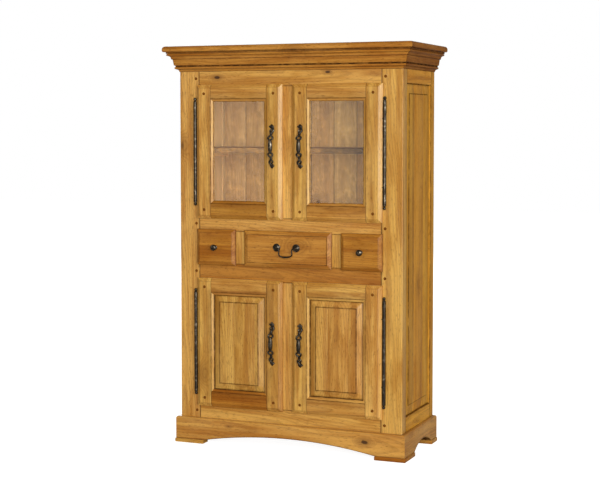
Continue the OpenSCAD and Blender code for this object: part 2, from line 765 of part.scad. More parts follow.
module left_drawer_front() piece(oak) handed(-1) side_drawer_front();
module right_drawer_front() piece(oak) side_drawer_front();
module left_drawer_box() piece(pale_wood) handed(-1) drawer_box(side_box_x);
module right_drawer_box() piece(pale_wood) drawer_box(side_box_x);
module centre_drawer_box() piece(pale_wood) drawer_box(centre_box_x);
module left_drawer_knob() piece(iron) handed(-1) side_knob();
module right_drawer_knob() piece(iron) side_knob();

// Posts of the bail: a turned rosette, a neck and an eye that the bail's pivot runs in
module bail_posts() piece(iron) both_sides() difference() {
  eye_r = bail_pivot_d / 2 + 3;
  reach = door_face - bail_axis_y;
  union() {
    translate([bail_span / 2, door_face, bail_axis_z]) rotate([90, 0, 0]) rotate_extrude() polygon([
      [0, -spigot_l], [spigot_d / 2, -spigot_l], [spigot_d / 2, 0], [rosette_d / 2, 0], [rosette_d / 2, 1.5],
      [rosette_d / 2 - 4, 3], [rosette_d / 2 - 6, 3], [5, 6], [3.5, 7], [3.5, reach], [0, reach]]);
    bar_x(bail_axis_y, bail_axis_z, 2 * eye_r, [bail_span / 2 - 4, bail_span / 2 + 4]);
  }
  bar_x(bail_axis_y, bail_axis_z, bail_pivot_d + 2 * turn_clearance, [bail_span / 2 - 6, bail_span / 2 + 6]);
}

// Smooth curve through a list of points, with its own steps between each two
function smooth(p, steps = 6) = let (last = len(p) - 1) concat(
  [for (i = [0 : last - 1], k = [0 : steps - 1]) let (
      t = k / steps,
      a = p[max(i - 1, 0)], b = p[i], c = p[i + 1], d = p[min(i + 2, last)])
    b + (c - a) / 2 * t + (2 * a - 5 * b + 4 * c - d) / 2 * t * t + (3 * b - a - 3 * c + d) / 2 * t * t * t],
  [p[last]]);

// Bail with swan necks: from each pivot it turns in and down, and its bow swells in the middle
module bail() piece(iron) translate([0, bail_axis_y, bail_axis_z]) {
  neck = [[-0.86, 0], [-0.8, -0.02], [-0.7, -0.13], [-0.65, -0.3], [-0.67, -0.52], [-0.61, -0.74], [-0.34, -0.86]];
  shape = concat(neck, [[0, -0.89]], [for (i = [len(neck) - 1 : -1 : 0]) [-neck[i][0], neck[i][1]]]);
  half = bail_span / 2;
  path = [for (p = smooth(shape, 4)) [p[0] * half, 0, p[1] * bail_drop]];
  rod(path, [for (p = path) bail_rod_d / 2 + 1.5 * pow(cos(p[0] / half * 90), 6)]);
  for (side = [-1, 1])
    bar_x(0, 0, bail_pivot_d, side > 0 ? [0.82 * half, half + 5] : [-half - 5, -0.82 * half]);
}

left_front_post();
right_front_post();
left_rear_post();
right_rear_post();
side_rails();
left_side_panel();
right_side_panel();
front_top_rail();
front_middle_rail();
front_lower_rail();
front_bottom_rail();
mullions();
drawer_dividers();
frame_pegs();
back_boards();
back_rails();
top_board();
decks();
shelves();
shelf_bearers();
drawer_guides();
door_catches();
cornice_front();
cornice_sides();
plinth_front();
plinth_sides();
plinth_back();
foot_pads();
hinge_knuckles();
hinge_pins();
upper_left_door_frame();
upper_left_door_pegs();
upper_left_door_glass();
upper_left_hinge_barrel();
upper_left_handle();
upper_right_door_frame();
upper_right_door_pegs();
upper_right_door_glass();
upper_right_hinge_barrel();
upper_right_handle();
lower_left_door_frame();
lower_left_door_pegs();
lower_left_door_panel();
lower_left_hinge_barrel();
lower_left_handle();
lower_right_door_frame();
lower_right_door_pegs();
lower_right_door_panel();
lower_right_hinge_barrel();
lower_right_handle();
left_drawer_front();
left_drawer_box();
left_drawer_knob();
right_drawer_front();
right_drawer_box();
right_drawer_knob();
centre_drawer_front();
centre_drawer_box();
bail_posts();
bail();
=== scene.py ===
import math
import random

import bmesh
import bpy
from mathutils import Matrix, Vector


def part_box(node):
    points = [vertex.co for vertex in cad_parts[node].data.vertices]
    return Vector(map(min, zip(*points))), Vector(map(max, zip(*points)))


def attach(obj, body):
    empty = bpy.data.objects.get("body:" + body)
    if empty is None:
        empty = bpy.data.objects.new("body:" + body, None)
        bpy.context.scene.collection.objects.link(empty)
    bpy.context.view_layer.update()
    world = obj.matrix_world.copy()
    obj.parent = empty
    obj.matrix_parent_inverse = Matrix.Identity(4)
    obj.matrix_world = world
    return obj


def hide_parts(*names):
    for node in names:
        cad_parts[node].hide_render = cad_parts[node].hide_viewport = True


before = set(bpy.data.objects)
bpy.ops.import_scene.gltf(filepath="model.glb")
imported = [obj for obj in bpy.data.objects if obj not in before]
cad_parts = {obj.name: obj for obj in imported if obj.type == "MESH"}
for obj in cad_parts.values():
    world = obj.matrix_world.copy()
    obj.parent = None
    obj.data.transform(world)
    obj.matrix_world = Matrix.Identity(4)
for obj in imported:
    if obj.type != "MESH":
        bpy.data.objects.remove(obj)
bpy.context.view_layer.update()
scene = bpy.context.scene
print("stage: frame loaded")


# small helpers for places that the frame gives
def span(node, axis):
    low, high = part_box(node)
    return low[axis], high[axis]


def middle(pair):
    return (pair[0] + pair[1]) / 2


faceY = span("front_middle_rail", 1)[0]
halfWidth = span("right_front_post", 0)[1]
postInner = span("right_front_post", 0)[0]
sideInner = halfWidth - 0.024
caseTop = span("right_front_post", 2)[1]
backY = span("right_rear_post", 1)[1]
rearPost = 0.074


# a node tree with its makers; inputs take plain values or other nodes' sockets
class Nodes:
    def __init__(self, tree):
        self.tree = tree

    def link(self, value, socket):
        self.tree.links.new(value, socket)

    def put(self, kind, inputs=None, **settings):
        node = self.tree.nodes.new(kind)
        for name, value in settings.items():
            setattr(node, name, value)
        for key, value in (inputs or {}).items():
            if isinstance(value, bpy.types.NodeSocket):
                self.link(value, node.inputs[key])
            else:
                node.inputs[key].default_value = value
        return node

    def calc(self, operation, first, second=0.0, third=0.0):
        return self.put("ShaderNodeMath", {0: first, 1: second, 2: third}, operation=operation).outputs[0]

    def plus(self, first, second):
        return self.calc("ADD", first, second)

    def times(self, first, second):
        return self.calc("MULTIPLY", first, second)

    def timesPlus(self, first, second, third):
        return self.calc("MULTIPLY_ADD", first, second, third)

    def vector(self, operation, first, second=(0.0, 0.0, 0.0)):
        return self.put("ShaderNodeVectorMath", {0: first, 1: second}, operation=operation).outputs

    def stretched(self, place, factors):
        return self.vector("MULTIPLY", place, factors)[0]

    def blend(self, factor, first, second, mode="MIX"):
        values = {0: factor, 6: first, 7: second}
        values = {key: (*value, 1) if isinstance(value, tuple) else value for key, value in values.items()}
        return self.put("ShaderNodeMix", values, data_type="RGBA", blend_type=mode).outputs[2]

    def ramp(self, value, low, high, outLow=0.0, outHigh=1.0):
        return self.put("ShaderNodeMapRange", {0: value, 1: low, 2: high, 3: outLow, 4: outHigh},
                        interpolation_type="SMOOTHSTEP").outputs[0]

    def noise(self, place, scale, detail=2.0, rough=0.5):
        return self.put("ShaderNodeTexNoise", {"Vector": place, "Scale": scale, "Detail": detail,
                                               "Roughness": rough}).outputs["Fac"]

    def objectPlace(self):
        return self.put("ShaderNodeTexCoord").outputs["Object"]


def newMaterial(name):
    material = bpy.data.materials.new(name)
    material.use_nodes = True
    material.node_tree.nodes.clear()
    nodes = Nodes(material.node_tree)
    output = nodes.put("ShaderNodeOutputMaterial")
    shader = nodes.put("ShaderNodeBsdfPrincipled")
    nodes.link(shader.outputs[0], output.inputs[0])
    return material, nodes, shader


# waxed oak: rings around a pith that lies beside the board, pores, knots, and rubbed-in dark wax that also
# carries painted shade along sight edges, steps and field edges
oakLooks = {
    "oak": dict(light=(0.66, 0.350, 0.078), mid=(0.44, 0.185, 0.030), dark=(0.15, 0.048, 0.007),
                waxAndShade=(0.045, 0.016, 0.004), knots=0.90, rough=0.30, sheen=0.40, spread=1.0),
    "darkOak": dict(light=(0.46, 0.190, 0.032), mid=(0.32, 0.110, 0.015), dark=(0.11, 0.033, 0.005),
                    waxAndShade=(0.035, 0.012, 0.003), knots=0.90, rough=0.42, sheen=0.20, spread=1.0),
    "sideOak": dict(light=(0.74, 0.365, 0.050), mid=(0.54, 0.230, 0.027), dark=(0.15, 0.048, 0.006),
                    waxAndShade=(0.040, 0.014, 0.003), knots=0.88, rough=0.44, sheen=0.18, spread=0.25,
                    inside=(0.70, 0.43, 0.17)),
    "topOak": dict(light=(0.52, 0.270, 0.055), mid=(0.38, 0.165, 0.025), dark=(0.14, 0.045, 0.007),
                   waxAndShade=(0.040, 0.014, 0.003), knots=0.90, rough=0.78, sheen=0.05, spread=0.5),
    "innerWood": dict(light=(0.86, 0.520, 0.190), mid=(0.68, 0.375, 0.12), dark=(0.30, 0.145, 0.042),
                      waxAndShade=(0.12, 0.060, 0.024), knots=0.88, rough=0.62, sheen=0.20, spread=0.35),
    # darker than the inner wood: painted shade on the shelves inside the case
    "shelfShadedOak": dict(light=(0.42, 0.205, 0.055), mid=(0.31, 0.14, 0.032), dark=(0.14, 0.06, 0.018),
                     waxAndShade=(0.07, 0.035, 0.012), knots=0.90, rough=0.58, sheen=0.20, spread=0.3),
}
# a board's tone runs from the deep tint to the pale one
boardTints = dict(deep=(0.70, 0.53, 0.26), pale=(1.17, 1.25, 1.30))
# the few big knots of the front: across, up, half width
frontKnots = [(-0.365, 1.752, 0.016), (0.196, 1.770, 0.012), (0.385, 0.078, 0.020), (-0.300, 0.095, 0.009)]


# knots: one in a few cells, and on the front the few that are placed; how near and how deep in one a point is
def oakKnots(nodes, place, look, placed):
    cells = nodes.stretched(place, (4.2, 8.5, 8.5))
    cells = nodes.put("ShaderNodeTexVoronoi", {"Vector": cells, "Scale": 1.0, "Randomness": 1.0})
    chosen = nodes.put("ShaderNodeSeparateColor", {0: cells.outputs["Color"]}).outputs[0]
    chosen = nodes.calc("GREATER_THAN", chosen, look["knots"])
    near = nodes.times(nodes.ramp(cells.outputs["Distance"], 0.42, 0.03), chosen)
    core = nodes.times(nodes.ramp(cells.outputs["Distance"], 0.135, 0.05), chosen)
    if placed:
        spot = nodes.objectPlace()
        wander = nodes.noise(spot, 60.0, 2.0)
    for x, z, size in placed:
        gap = nodes.vector("SUBTRACT", spot, (x, faceY, z))[0]
        gap = nodes.stretched(gap, (1 / size, 0.35 / size, 2.1 / size))
        gap = nodes.vector("LENGTH", gap)["Value"]
        gap = nodes.timesPlus(wander, 0.7, nodes.calc("SUBTRACT", gap, 0.35))
        near = nodes.calc("MAXIMUM", near, nodes.ramp(gap, 3.4, 0.8))
        core = nodes.calc("MAXIMUM", core, nodes.ramp(gap, 1.15, 0.6))
    return near, core


# rings around the pith, drawn close around the knots
def oakRings(nodes, board, place, tone, knotNear):
    drift = nodes.noise(nodes.stretched(place, (1.3, 6.0, 6.0)), 1.0, 2.0)
    parts = nodes.put("ShaderNodeSeparateXYZ", {0: board}).outputs
    across = nodes.timesPlus(parts[0], 0.035, parts[1])
    across = nodes.plus(across, nodes.ramp(tone, 0.0, 1.0, -0.05, 0.05))
    deep = nodes.timesPlus(parts[0], 0.022, nodes.plus(parts[2], 0.075))
    radius = nodes.calc("SQRT", nodes.plus(nodes.times(across, across), nodes.times(deep, deep)))
    field = nodes.timesPlus(drift, 8.0, nodes.times(radius, 120.0))
    saw = nodes.calc("FRACT", nodes.timesPlus(knotNear, 5.0, field))
    return nodes.calc("MINIMUM", nodes.ramp(saw, 0.0, 0.12), nodes.ramp(saw, 1.0, 0.35))


def makeOak(name, look):
    material, nodes, shader = newMaterial(name)
    board = nodes.put("ShaderNodeAttribute", attribute_name="grain").outputs["Vector"]
    tone = nodes.put("ShaderNodeAttribute", attribute_name="tone").outputs["Fac"]
    waxAndShade = nodes.put("ShaderNodeAttribute", attribute_name="waxAndShade").outputs["Fac"]
    seed = nodes.put("ShaderNodeCombineXYZ", {axis: nodes.times(tone, factor)
                                              for axis, factor in enumerate((7.31, -5.17, 3.73))}).outputs[0]
    place = nodes.vector("ADD", board, seed)[0]
    knotNear, knotCore = oakKnots(nodes, place, look, frontKnots if name == "oak" else [])
    ring = oakRings(nodes, board, place, tone, knotNear)
    # broad streaks, patches, fibre, flecks and pores
    streak = nodes.noise(nodes.stretched(place, (1.6, 34.0, 34.0)), 1.0, 3.0, 0.55)
    cloud = nodes.noise(nodes.stretched(place, (3.2, 9.0, 9.0)), 1.0, 4.0, 0.62)
    fibre = nodes.noise(nodes.stretched(place, (14.0, 620.0, 620.0)), 1.0, 3.0, 0.6)
    fleck = nodes.ramp(nodes.noise(nodes.stretched(place, (44.0, 270.0, 270.0)), 1.0, 2.0, 0.55), 0.58, 0.70)
    late = nodes.calc("SUBTRACT", 1.0, ring)
    pore = nodes.noise(nodes.stretched(place, (48.0, 900.0, 900.0)), 1.0, 1.0, 0.5)
    pore = nodes.times(nodes.ramp(pore, 0.60, 0.72), late)
    color = nodes.blend(nodes.ramp(streak, 0.34, 0.68), look["light"], look["mid"])
    color = nodes.blend(nodes.times(nodes.ramp(cloud, 0.50, 0.70), 0.80), color, look["mid"])
    color = nodes.blend(nodes.times(nodes.ramp(cloud, 0.47, 0.30), 0.70), color, look["light"])
    for mark, depth in ((late, 0.22), (nodes.ramp(fibre, 0.50, 0.78), 0.25), (fleck, 0.55), (pore, 0.60)):
        color = nodes.blend(nodes.times(mark, depth), color, look["dark"])
    # every board has its own tone, a little redder or yellower
    amount = nodes.timesPlus(tone, look["spread"], 0.6 * (1 - look["spread"]))
    tint = nodes.blend(amount, boardTints["deep"], boardTints["pale"])
    color = nodes.blend(1.0, color, tint, "MULTIPLY")
    hue = nodes.ramp(nodes.calc("FRACT", nodes.times(tone, 5.3)), 0.0, 1.0, 0.4985, 0.5045)
    color = nodes.put("ShaderNodeHueSaturation", {"Hue": hue, "Color": color}).outputs[0]
    color = nodes.blend(nodes.times(knotNear, 0.45), color, look["dark"])
    color = nodes.blend(nodes.times(knotCore, 0.92), color, look["waxAndShade"])
    # dark wax rubbed into joints and hollows, and painted shade along sight edges, steps and field edges; it
    # also roughens the surface and dulls the polish
    waxAndShadeAmount = nodes.times(waxAndShade, nodes.ramp(nodes.noise(place, 38.0, 4.0, 0.65), 0.25, 0.62, 0.45, 1.0))
    color = nodes.blend(waxAndShadeAmount, color, look["waxAndShade"])
    if "inside" in look:
        # what lies behind the outer skin is bare wood
        spot = nodes.put("ShaderNodeSeparateXYZ", {0: nodes.objectPlace()})
        aside = nodes.calc("ABSOLUTE", spot.outputs[0])
        inward = nodes.calc("LESS_THAN", aside, halfWidth - 0.0135)
        dull = tuple(part * 0.75 for part in look["inside"])
        color = nodes.blend(inward, color, nodes.blend(nodes.ramp(cloud, 0.3, 0.7), look["inside"], dull))
    nodes.link(color, shader.inputs["Base Color"])
    rough = nodes.timesPlus(fibre, 0.16, look["rough"] - 0.08)
    nodes.link(nodes.timesPlus(waxAndShadeAmount, 0.18, rough), shader.inputs["Roughness"])
    height = nodes.timesPlus(fibre, 0.35, nodes.times(pore, -0.8))
    for mark, rise in ((ring, 0.25), (knotCore, -1.2), (cloud, 2.0)):
        height = nodes.timesPlus(mark, rise, height)
    bump = nodes.put("ShaderNodeBump", {"Height": height, "Strength": 0.35, "Distance": 0.0006})
    nodes.link(bump.outputs[0], shader.inputs["Normal"])
    polish = nodes.ramp(cloud, 0.32, 0.66, look["sheen"] * 1.3, look["sheen"] * 0.6)
    polish = nodes.times(polish, nodes.ramp(waxAndShadeAmount, 0.2, 0.9, 1.0, 0.25))
    polish = nodes.times(polish, nodes.ramp(tone, 0.0, 0.7, 0.5, 1.0))
    nodes.link(polish, shader.inputs["Specular IOR Level"])
    return material


# metals: hammered black iron, drawn steel, dull brass
metalLooks = {
    "iron": dict(base=(0.036, 0.028, 0.020), wornAndGlint=(0.40, 0.34, 0.25), rough=0.30, hammer=130.0, depth=0.0007),
    "pinSteel": dict(base=(0.22, 0.21, 0.20), wornAndGlint=(0.38, 0.37, 0.36), rough=0.34, hammer=260.0,
                     depth=0.0002),
    "brass": dict(base=(0.45, 0.31, 0.11), wornAndGlint=(0.68, 0.52, 0.24), rough=0.38, hammer=90.0, depth=0.0002),
}


def makeMetal(name, look):
    material, nodes, shader = newMaterial(name)
    place = nodes.objectPlace()
    dents = nodes.put("ShaderNodeTexVoronoi", {"Vector": place, "Scale": look["hammer"]}, feature="SMOOTH_F1")
    cloud = nodes.noise(place, 55.0, 4.0, 0.6)
    speck = nodes.noise(place, 900.0, 2.0, 0.6)
    # pale patches and specks of wear; on the iron their pale tone is raised so that they also serve as
    # painted highlights
    color = nodes.blend(nodes.times(nodes.ramp(cloud, 0.50, 0.74), 0.7), look["base"], look["wornAndGlint"])
    color = nodes.blend(nodes.times(nodes.ramp(speck, 0.55, 0.75), 0.35), color, look["wornAndGlint"])
    nodes.link(color, shader.inputs["Base Color"])
    nodes.link(nodes.timesPlus(speck, 0.22, look["rough"] - 0.1), shader.inputs["Roughness"])
    height = nodes.timesPlus(speck, 0.12, dents.outputs["Distance"])
    bump = nodes.put("ShaderNodeBump", {"Height": height, "Strength": 0.5, "Distance": look["depth"]})
    nodes.link(bump.outputs[0], shader.inputs["Normal"])
    shader.inputs["Metallic"].default_value = 0.85
    return material


# clear window glass, faintly drawn; lamps reach what is behind it
glassLook = dict(tint=(0.965, 0.985, 0.975, 1), rough=0.015, wave=9.0)


def makeGlass(name):
    material, nodes, shader = newMaterial(name)
    wave = nodes.noise(nodes.stretched(nodes.objectPlace(), (1.0, 1.0, 0.35)), glassLook["wave"], 1.0)
    bump = nodes.put("ShaderNodeBump", {"Height": wave, "Strength": 0.12, "Distance": 0.002})
    nodes.link(bump.outputs[0], shader.inputs["Normal"])
    for socket, value in (("Base Color", glassLook["tint"]), ("Roughness", glassLook["rough"]), ("IOR", 1.45),
                          ("Transmission Weight", 1.0)):
        shader.inputs[socket].default_value = value
    clear = nodes.put("ShaderNodeBsdfTransparent", {"Color": glassLook["tint"]})
    shadow = nodes.put("ShaderNodeLightPath").outputs["Is Shadow Ray"]
    mix = nodes.put("ShaderNodeMixShader", {0: shadow, 1: shader.outputs[0], 2: clear.outputs[0]})
    output = next(node for node in nodes.tree.nodes if node.type == "OUTPUT_MATERIAL")
    nodes.link(mix.outputs[0], output.inputs[0])
    return material


materials = {name: makeOak(name, look) for name, look in oakLooks.items()}
materials.update({name: makeMetal(name, look) for name, look in metalLooks.items()})
materials["glass"] = makeGlass("glass")
print("stage: materials made")


# a Shape gathers the faces of one piece, with what the wood material reads at each point
class Shape:
    def __init__(self):
        self.points, self.faces, self.grain, self.tone, self.waxAndShade = [], [], [], [], []

    def add(self, points, faces, along, tone, waxAndShade=None):
        start = len(self.points)
        center = sum((Vector(p) for p in points), Vector()) / len(points)
        order = {"x": (0, 2, 1), "y": (1, 2, 0), "z": (2, 0, 1)}[along]
        for p in points:
            offset = Vector(p) - center
            self.grain.append([offset[i] for i in order])
        self.points.extend(tuple(p) for p in points)
        self.faces.extend([i + start for i in face] for face in faces)
        self.tone.extend([tone] * len(points))
        self.waxAndShade.extend(waxAndShade or [0.0] * len(points))

    def build(self, name, materialName, smoothAngle=38.0):
        mesh = bpy.data.meshes.new(name)
        mesh.from_pydata(self.points, [], self.faces)
        mesh.attributes.new("grain", "FLOAT_VECTOR", "POINT").data.foreach_set(
            "vector", [c for v in self.grain for c in v])
        mesh.attributes.new("tone", "FLOAT", "POINT").data.foreach_set("value", self.tone)
        mesh.attributes.new("waxAndShade", "FLOAT", "POINT").data.foreach_set("value", self.waxAndShade)
        shell = bmesh.new()
        shell.from_mesh(mesh)
        bmesh.ops.recalc_face_normals(shell, faces=shell.faces)
        shell.to_mesh(mesh)
        shell.free()
        mesh.shade_smooth()
        mesh.set_sharp_from_angle(angle=math.radians(smoothAngle))
        mesh.materials.append(materials[materialName])
        piece = bpy.data.objects.new(name, mesh)
        scene.collection.objects.link(piece)
        return piece

    def finish(self, name, materialName, body, node, slotFrom=None, smoothAngle=38.0):
        finishPiece(self.build(name, materialName, smoothAngle), body, node)


def finishPiece(piece, body, node):
    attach(piece, body)
    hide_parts(node)


toneRandom = random.Random(41)


def newTone(low=0.0, high=1.0):
    return low + (high - low) * toneRandom.random()


# how far a point (a, b) is from the nearest edge of the field u by v
def edgeGap(a, b, u, v):
    return min(a - u[0], u[1] - a, b - v[0], v[1] - b)


# how dark a line of wax and painted shade is at a distance from its middle
def nearLine(distance, width):
    return max(0.0, 1 - abs(distance) / width)


# how far an edge falls away at a distance from it, as a quarter round of that radius
def roundOff(distance, radius):
    if distance >= radius:
        return 0.0
    reach = radius - max(distance, 0.0)
    return radius - math.sqrt(max(radius * radius - reach * reach, 0.0))


def fromBothEnds(pair, steps):
    return [pair[0] + step for step in steps] + [pair[1] - step for step in steps]


# a board with a shaped face: front(u, v) and back(u, v) are heights over the plane that it lies on
def addBoard(shape, put3d, uLines, vLines, front, back, keep, along, tone, waxAndShade):
    us, vs = tidyLines(uLines), tidyLines(vLines)
    cells = []
    for i in range(len(us) - 1):
        for j in range(len(vs) - 1):
            corners = [(i, j), (i + 1, j), (i + 1, j + 1), (i, j + 1)]
            u, v = (us[i] + us[i + 1]) / 2, (vs[j] + vs[j + 1]) / 2
            heights = [front(us[a], vs[b]) for a, b in corners]
            center = front(u, v)
            first = abs(center - (heights[0] + heights[2]) / 2)
            second = abs(center - (heights[1] + heights[3]) / 2)
            inside = [keep(*mean([(us[a], vs[b]) for a, b in corners if (a, b) != corner]))
                      for corner in corners]
            if all(inside) and max(first, second) < 1e-6:
                cells.append(corners)
                continue
            if not any(inside):
                continue
            split = ((0, 1, 2), (0, 2, 3)) if first <= second else ((0, 1, 3), (1, 2, 3))
            for three in split:
                triangle = [corners[k] for k in three]
                if keep(*mean([(us[a], vs[b]) for a, b in triangle])):
                    cells.append(triangle)
    index = {}
    for cell in cells:
        for corner in cell:
            index.setdefault(corner, len(index))
    count = len(index)
    grid = list(index)
    places = [(us[a], vs[b]) for a, b in grid]
    points = [put3d(u, v, face(u, v)) for face in (front, back) for u, v in places]
    faces = [[index[c] for c in cell] for cell in cells]
    faces += [[index[c] + count for c in reversed(cell)] for cell in cells]
    edges = set()
    for cell in cells:
        for k, corner in enumerate(cell):
            edges.add((index[corner], index[cell[(k + 1) % len(cell)]]))
    faces += [[b, a, a + count, b + count] for a, b in edges if (b, a) not in edges]
    stainAndShade = [waxAndShade(u, v) for u, v in places]
    shape.add(points, faces, along, tone, stainAndShade + [s * 0.6 for s in stainAndShade])


def mean(pairs):
    return sum(p[0] for p in pairs) / len(pairs), sum(p[1] for p in pairs) / len(pairs)


def tidyLines(lines):
    result = []
    for value in sorted(lines):
        if not result or value - result[-1] > 2e-5:
            result.append(value)
    return result


# the three planes that boards lie on
def onFront(u, v, w):
    return (u, faceY - w, v)


def onRight(u, v, w):
    return (halfWidth + w, u, v)


def onLeft(u, v, w):
    return (-halfWidth - w, u, v)


def plainBoard(shape, put3d, u, v, w, along, tone, radius=0.0012, stainAndShade=0.85):
    def front(a, b):
        return w[1] - roundOff(edgeGap(a, b, u, v), radius)

    def waxAndShade(a, b):
        return stainAndShade * max(0.0, 1 - edgeGap(a, b, u, v) / (radius * 3))

    steps = [radius * step for step in (0.0, 0.134, 0.5, 1.0, 3.0)]
    addBoard(shape, put3d, fromBothEnds(u, steps), fromBothEnds(v, steps), front, lambda a, b: w[0],
             lambda a, b: True, along, tone, waxAndShade)


# a loft joins rings of points; mitred ends and arches come from the rings' own places
def addLoft(shape, rings, along, tone, waxAndShade=None, ringWax=None):
    count = len(rings[0])
    points = [p for ring in rings for p in ring]
    faces = []
    for r in range(len(rings) - 1):
        for k in range(count):
            n = (k + 1) % count
            faces.append([r * count + k, r * count + n, (r + 1) * count + n, (r + 1) * count + k])
    faces.append(list(range(count - 1, -1, -1)))
    faces.append([(len(rings) - 1) * count + k for k in range(count)])
    stainAndShade = []
    for r in range(len(rings)):
        for k in range(count):
            stainAndShade.append(min(1.0, (waxAndShade[k] if waxAndShade else 0.0) + (ringWax[r] if ringWax else 0.0)))
    shape.add(points, faces, along, tone, stainAndShade)


def circle(radius, count):
    turns = [2 * math.pi * k / count for k in range(count)]
    return [(radius * math.cos(turn), radius * math.sin(turn)) for turn in turns]


# a profile of (radius, height) turned around an axis that put3d places
def addLathe(shape, profile, put3d, sides=28, along="z", tone=0.5, ringWax=None):
    hair = 0.00002
    rings = [[put3d(a, b, height) for a, b in circle(max(radius, hair), sides)] for radius, height in profile]
    addLoft(shape, rings, along, tone, None, ringWax)


# the bend at a corner, between the points that lie a radius away from it on both sides
def cornerBend(here, toLast, toNext, radius, steps):
    a, b = here + toLast * radius, here + toNext * radius
    shares = [s / steps for s in range(steps + 1)]
    return [tuple((1 - t) ** 2 * a + 2 * t * (1 - t) * here + t ** 2 * b) for t in shares]


def cornerWays(outline, i):
    here = Vector(outline[i])
    last, after = Vector(outline[i - 1]), Vector(outline[(i + 1) % len(outline)])
    return here, (last - here).normalized(), (after - here).normalized()


def rounded(outline, radii, steps=3):
    result = []
    for i, radius in enumerate(radii):
        result += cornerBend(*cornerWays(outline, i), radius, steps)
    return result


# each corner of an outline with its radius and its dark wax, which stays within a shoulder beside it
def waxedOutline(corners, shoulder=0.005, steps=3):
    points, waxAndShade = [], []
    outline = [corner[0] for corner in corners]
    for i, (place, radius, stainAndShade) in enumerate(corners):
        here, toLast, toNext = cornerWays(outline, i)
        bend = cornerBend(here, toLast, toNext, radius, steps)
        reach = radius + shoulder
        points += [tuple(here + toLast * reach), *bend, tuple(here + toNext * reach)]
        waxAndShade += [0.0] + [stainAndShade] * len(bend) + [0.0]
    return points, waxAndShade


# a board between its spans along x, y and z
def plank(shape, x, y, z, along, tone, radius=0.0015, frontShade=0.0):
    low, high = zip(x, y, z)
    axis = "xyz".index(along)
    first, second = [i for i in range(3) if i != axis]
    outline = rounded([(low[first], low[second]), (high[first], low[second]),
                       (high[first], high[second]), (low[first], high[second])], [radius] * 4)
    center = ((low[first] + high[first]) / 2, (low[second] + high[second]) / 2)
    rings = []
    ends = [(low[axis], radius), (low[axis] + radius, 0.0), (high[axis] - radius, 0.0), (high[axis], radius)]
    for place, inset in ends:
        ring = []
        for a, b in outline:
            point = [0.0, 0.0, 0.0]
            point[axis] = place
            point[first] = a + (inset if a < center[0] else -inset)
            point[second] = b + (inset if b < center[1] else -inset)
            ring.append(tuple(point))
        rings.append(ring)
    # outlines of planks that run along x have depth first
    stainAndShade = [frontShade if abs(a - low[first]) < radius * 1.01 else 0.0 for a, b in outline]
    addLoft(shape, rings, along, tone, stainAndShade)


def plankNode(node, along, materialName):
    shape = Shape()
    plank(shape, *zip(*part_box(node)), along, newTone())
    shape.finish(node.replace("_", "-") + "-wood", materialName, "case", node)


# the front frame

frameLook = dict(faces=(-0.024, 0.0), frontPost=0.024, rearPost=0.022, arris=0.0012, outerRound=0.0030,
                 divider=0.062)


def makeFrontRails():
    wood = {"front_top_rail": ("oak", 0.66), "front_middle_rail": ("oak", 0.78),
            "front_lower_rail": ("darkOak", 0.66), "front_bottom_rail": ("oak", 0.66)}
    for node, (materialName, tone) in wood.items():
        shape = Shape()
        plainBoard(shape, onFront, (-postInner, postInner), span(node, 2), frameLook["faces"], "x", tone)
        shape.finish(node + "Wood", materialName, "case", node)


def makeUprights():
    floors = [span("front_bottom_rail", 2)[1], span("front_lower_rail", 2), span("front_middle_rail", 2),
              span("front_top_rail", 2)[0]]
    bays = {"lower": (floors[0], floors[1][0]), "drawers": (floors[1][1], floors[2][0]),
            "upper": (floors[2][1], floors[3])}
    shape = Shape()
    for bay, tone in (("lower", 0.80), ("upper", 0.97)):
        plainBoard(shape, onFront, span("mullions", 0), bays[bay], frameLook["faces"], "z", tone)
    shape.finish("mullionWood", "oak", "case", "mullions")
    outer = span("drawer_dividers", 0)[1]
    inner = outer - frameLook["divider"]
    shape = Shape()
    for low, high, tone in ((-outer, -inner, 0.86), (inner, outer, 0.90)):
        plainBoard(shape, onFront, (low, high), bays["drawers"], frameLook["faces"], "z", tone)
    shape.finish("dividerWood", "oak", "case", "drawer_dividers")


# posts: an L of a face stile and a side leg, rounded at the outer arris
def makePost(node, side, frontPost, tone):
    wood = "oak" if frontPost else "sideOak"
    low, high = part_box(node)
    thick = frameLook["frontPost"] if frontPost else frameLook["rearPost"]
    outerX, innerX = side * halfWidth, side * (halfWidth - (high[0] - low[0]))
    legX = side * sideInner
    near, far = low[1], high[1]
    outer, small = frameLook["outerRound"], frameLook["arris"]
    if frontPost:
        corners = [((innerX, near), small, 0.85), ((outerX, near), outer, 0.0), ((outerX, far), small, 0.85),
                   ((legX, far), small, 0.0), ((legX, near + thick), small, 0.0),
                   ((innerX, near + thick), small, 0.0)]
    else:
        corners = [((outerX, near), small, 0.85), ((outerX, far), outer, 0.0), ((innerX, far), small, 0.0),
                   ((innerX, far - thick), small, 0.0), ((legX, far - thick), small, 0.0),
                   ((legX, near), small, 0.0)]
    section, waxAndShade = waxedOutline(corners)
    shape = Shape()
    heights = [low[2], low[2] + 0.002] + [low[2] + (high[2] - low[2]) * k / 8 for k in range(1, 8)]
    rings = [[(x, y, z) for x, y in section] for z in heights + [high[2]]]
    addLoft(shape, rings, "z", tone, waxAndShade)
    shape.finish(node + "Wood", wood, "case", node, slotFrom="oak")


# sides: rails between the posts, and a raised panel of glued staves

sideLook = dict(bevel=0.046, tongue=0.008, groove=-0.010, field=-0.003, step=0.0025, staves=(0.34, 0.69))


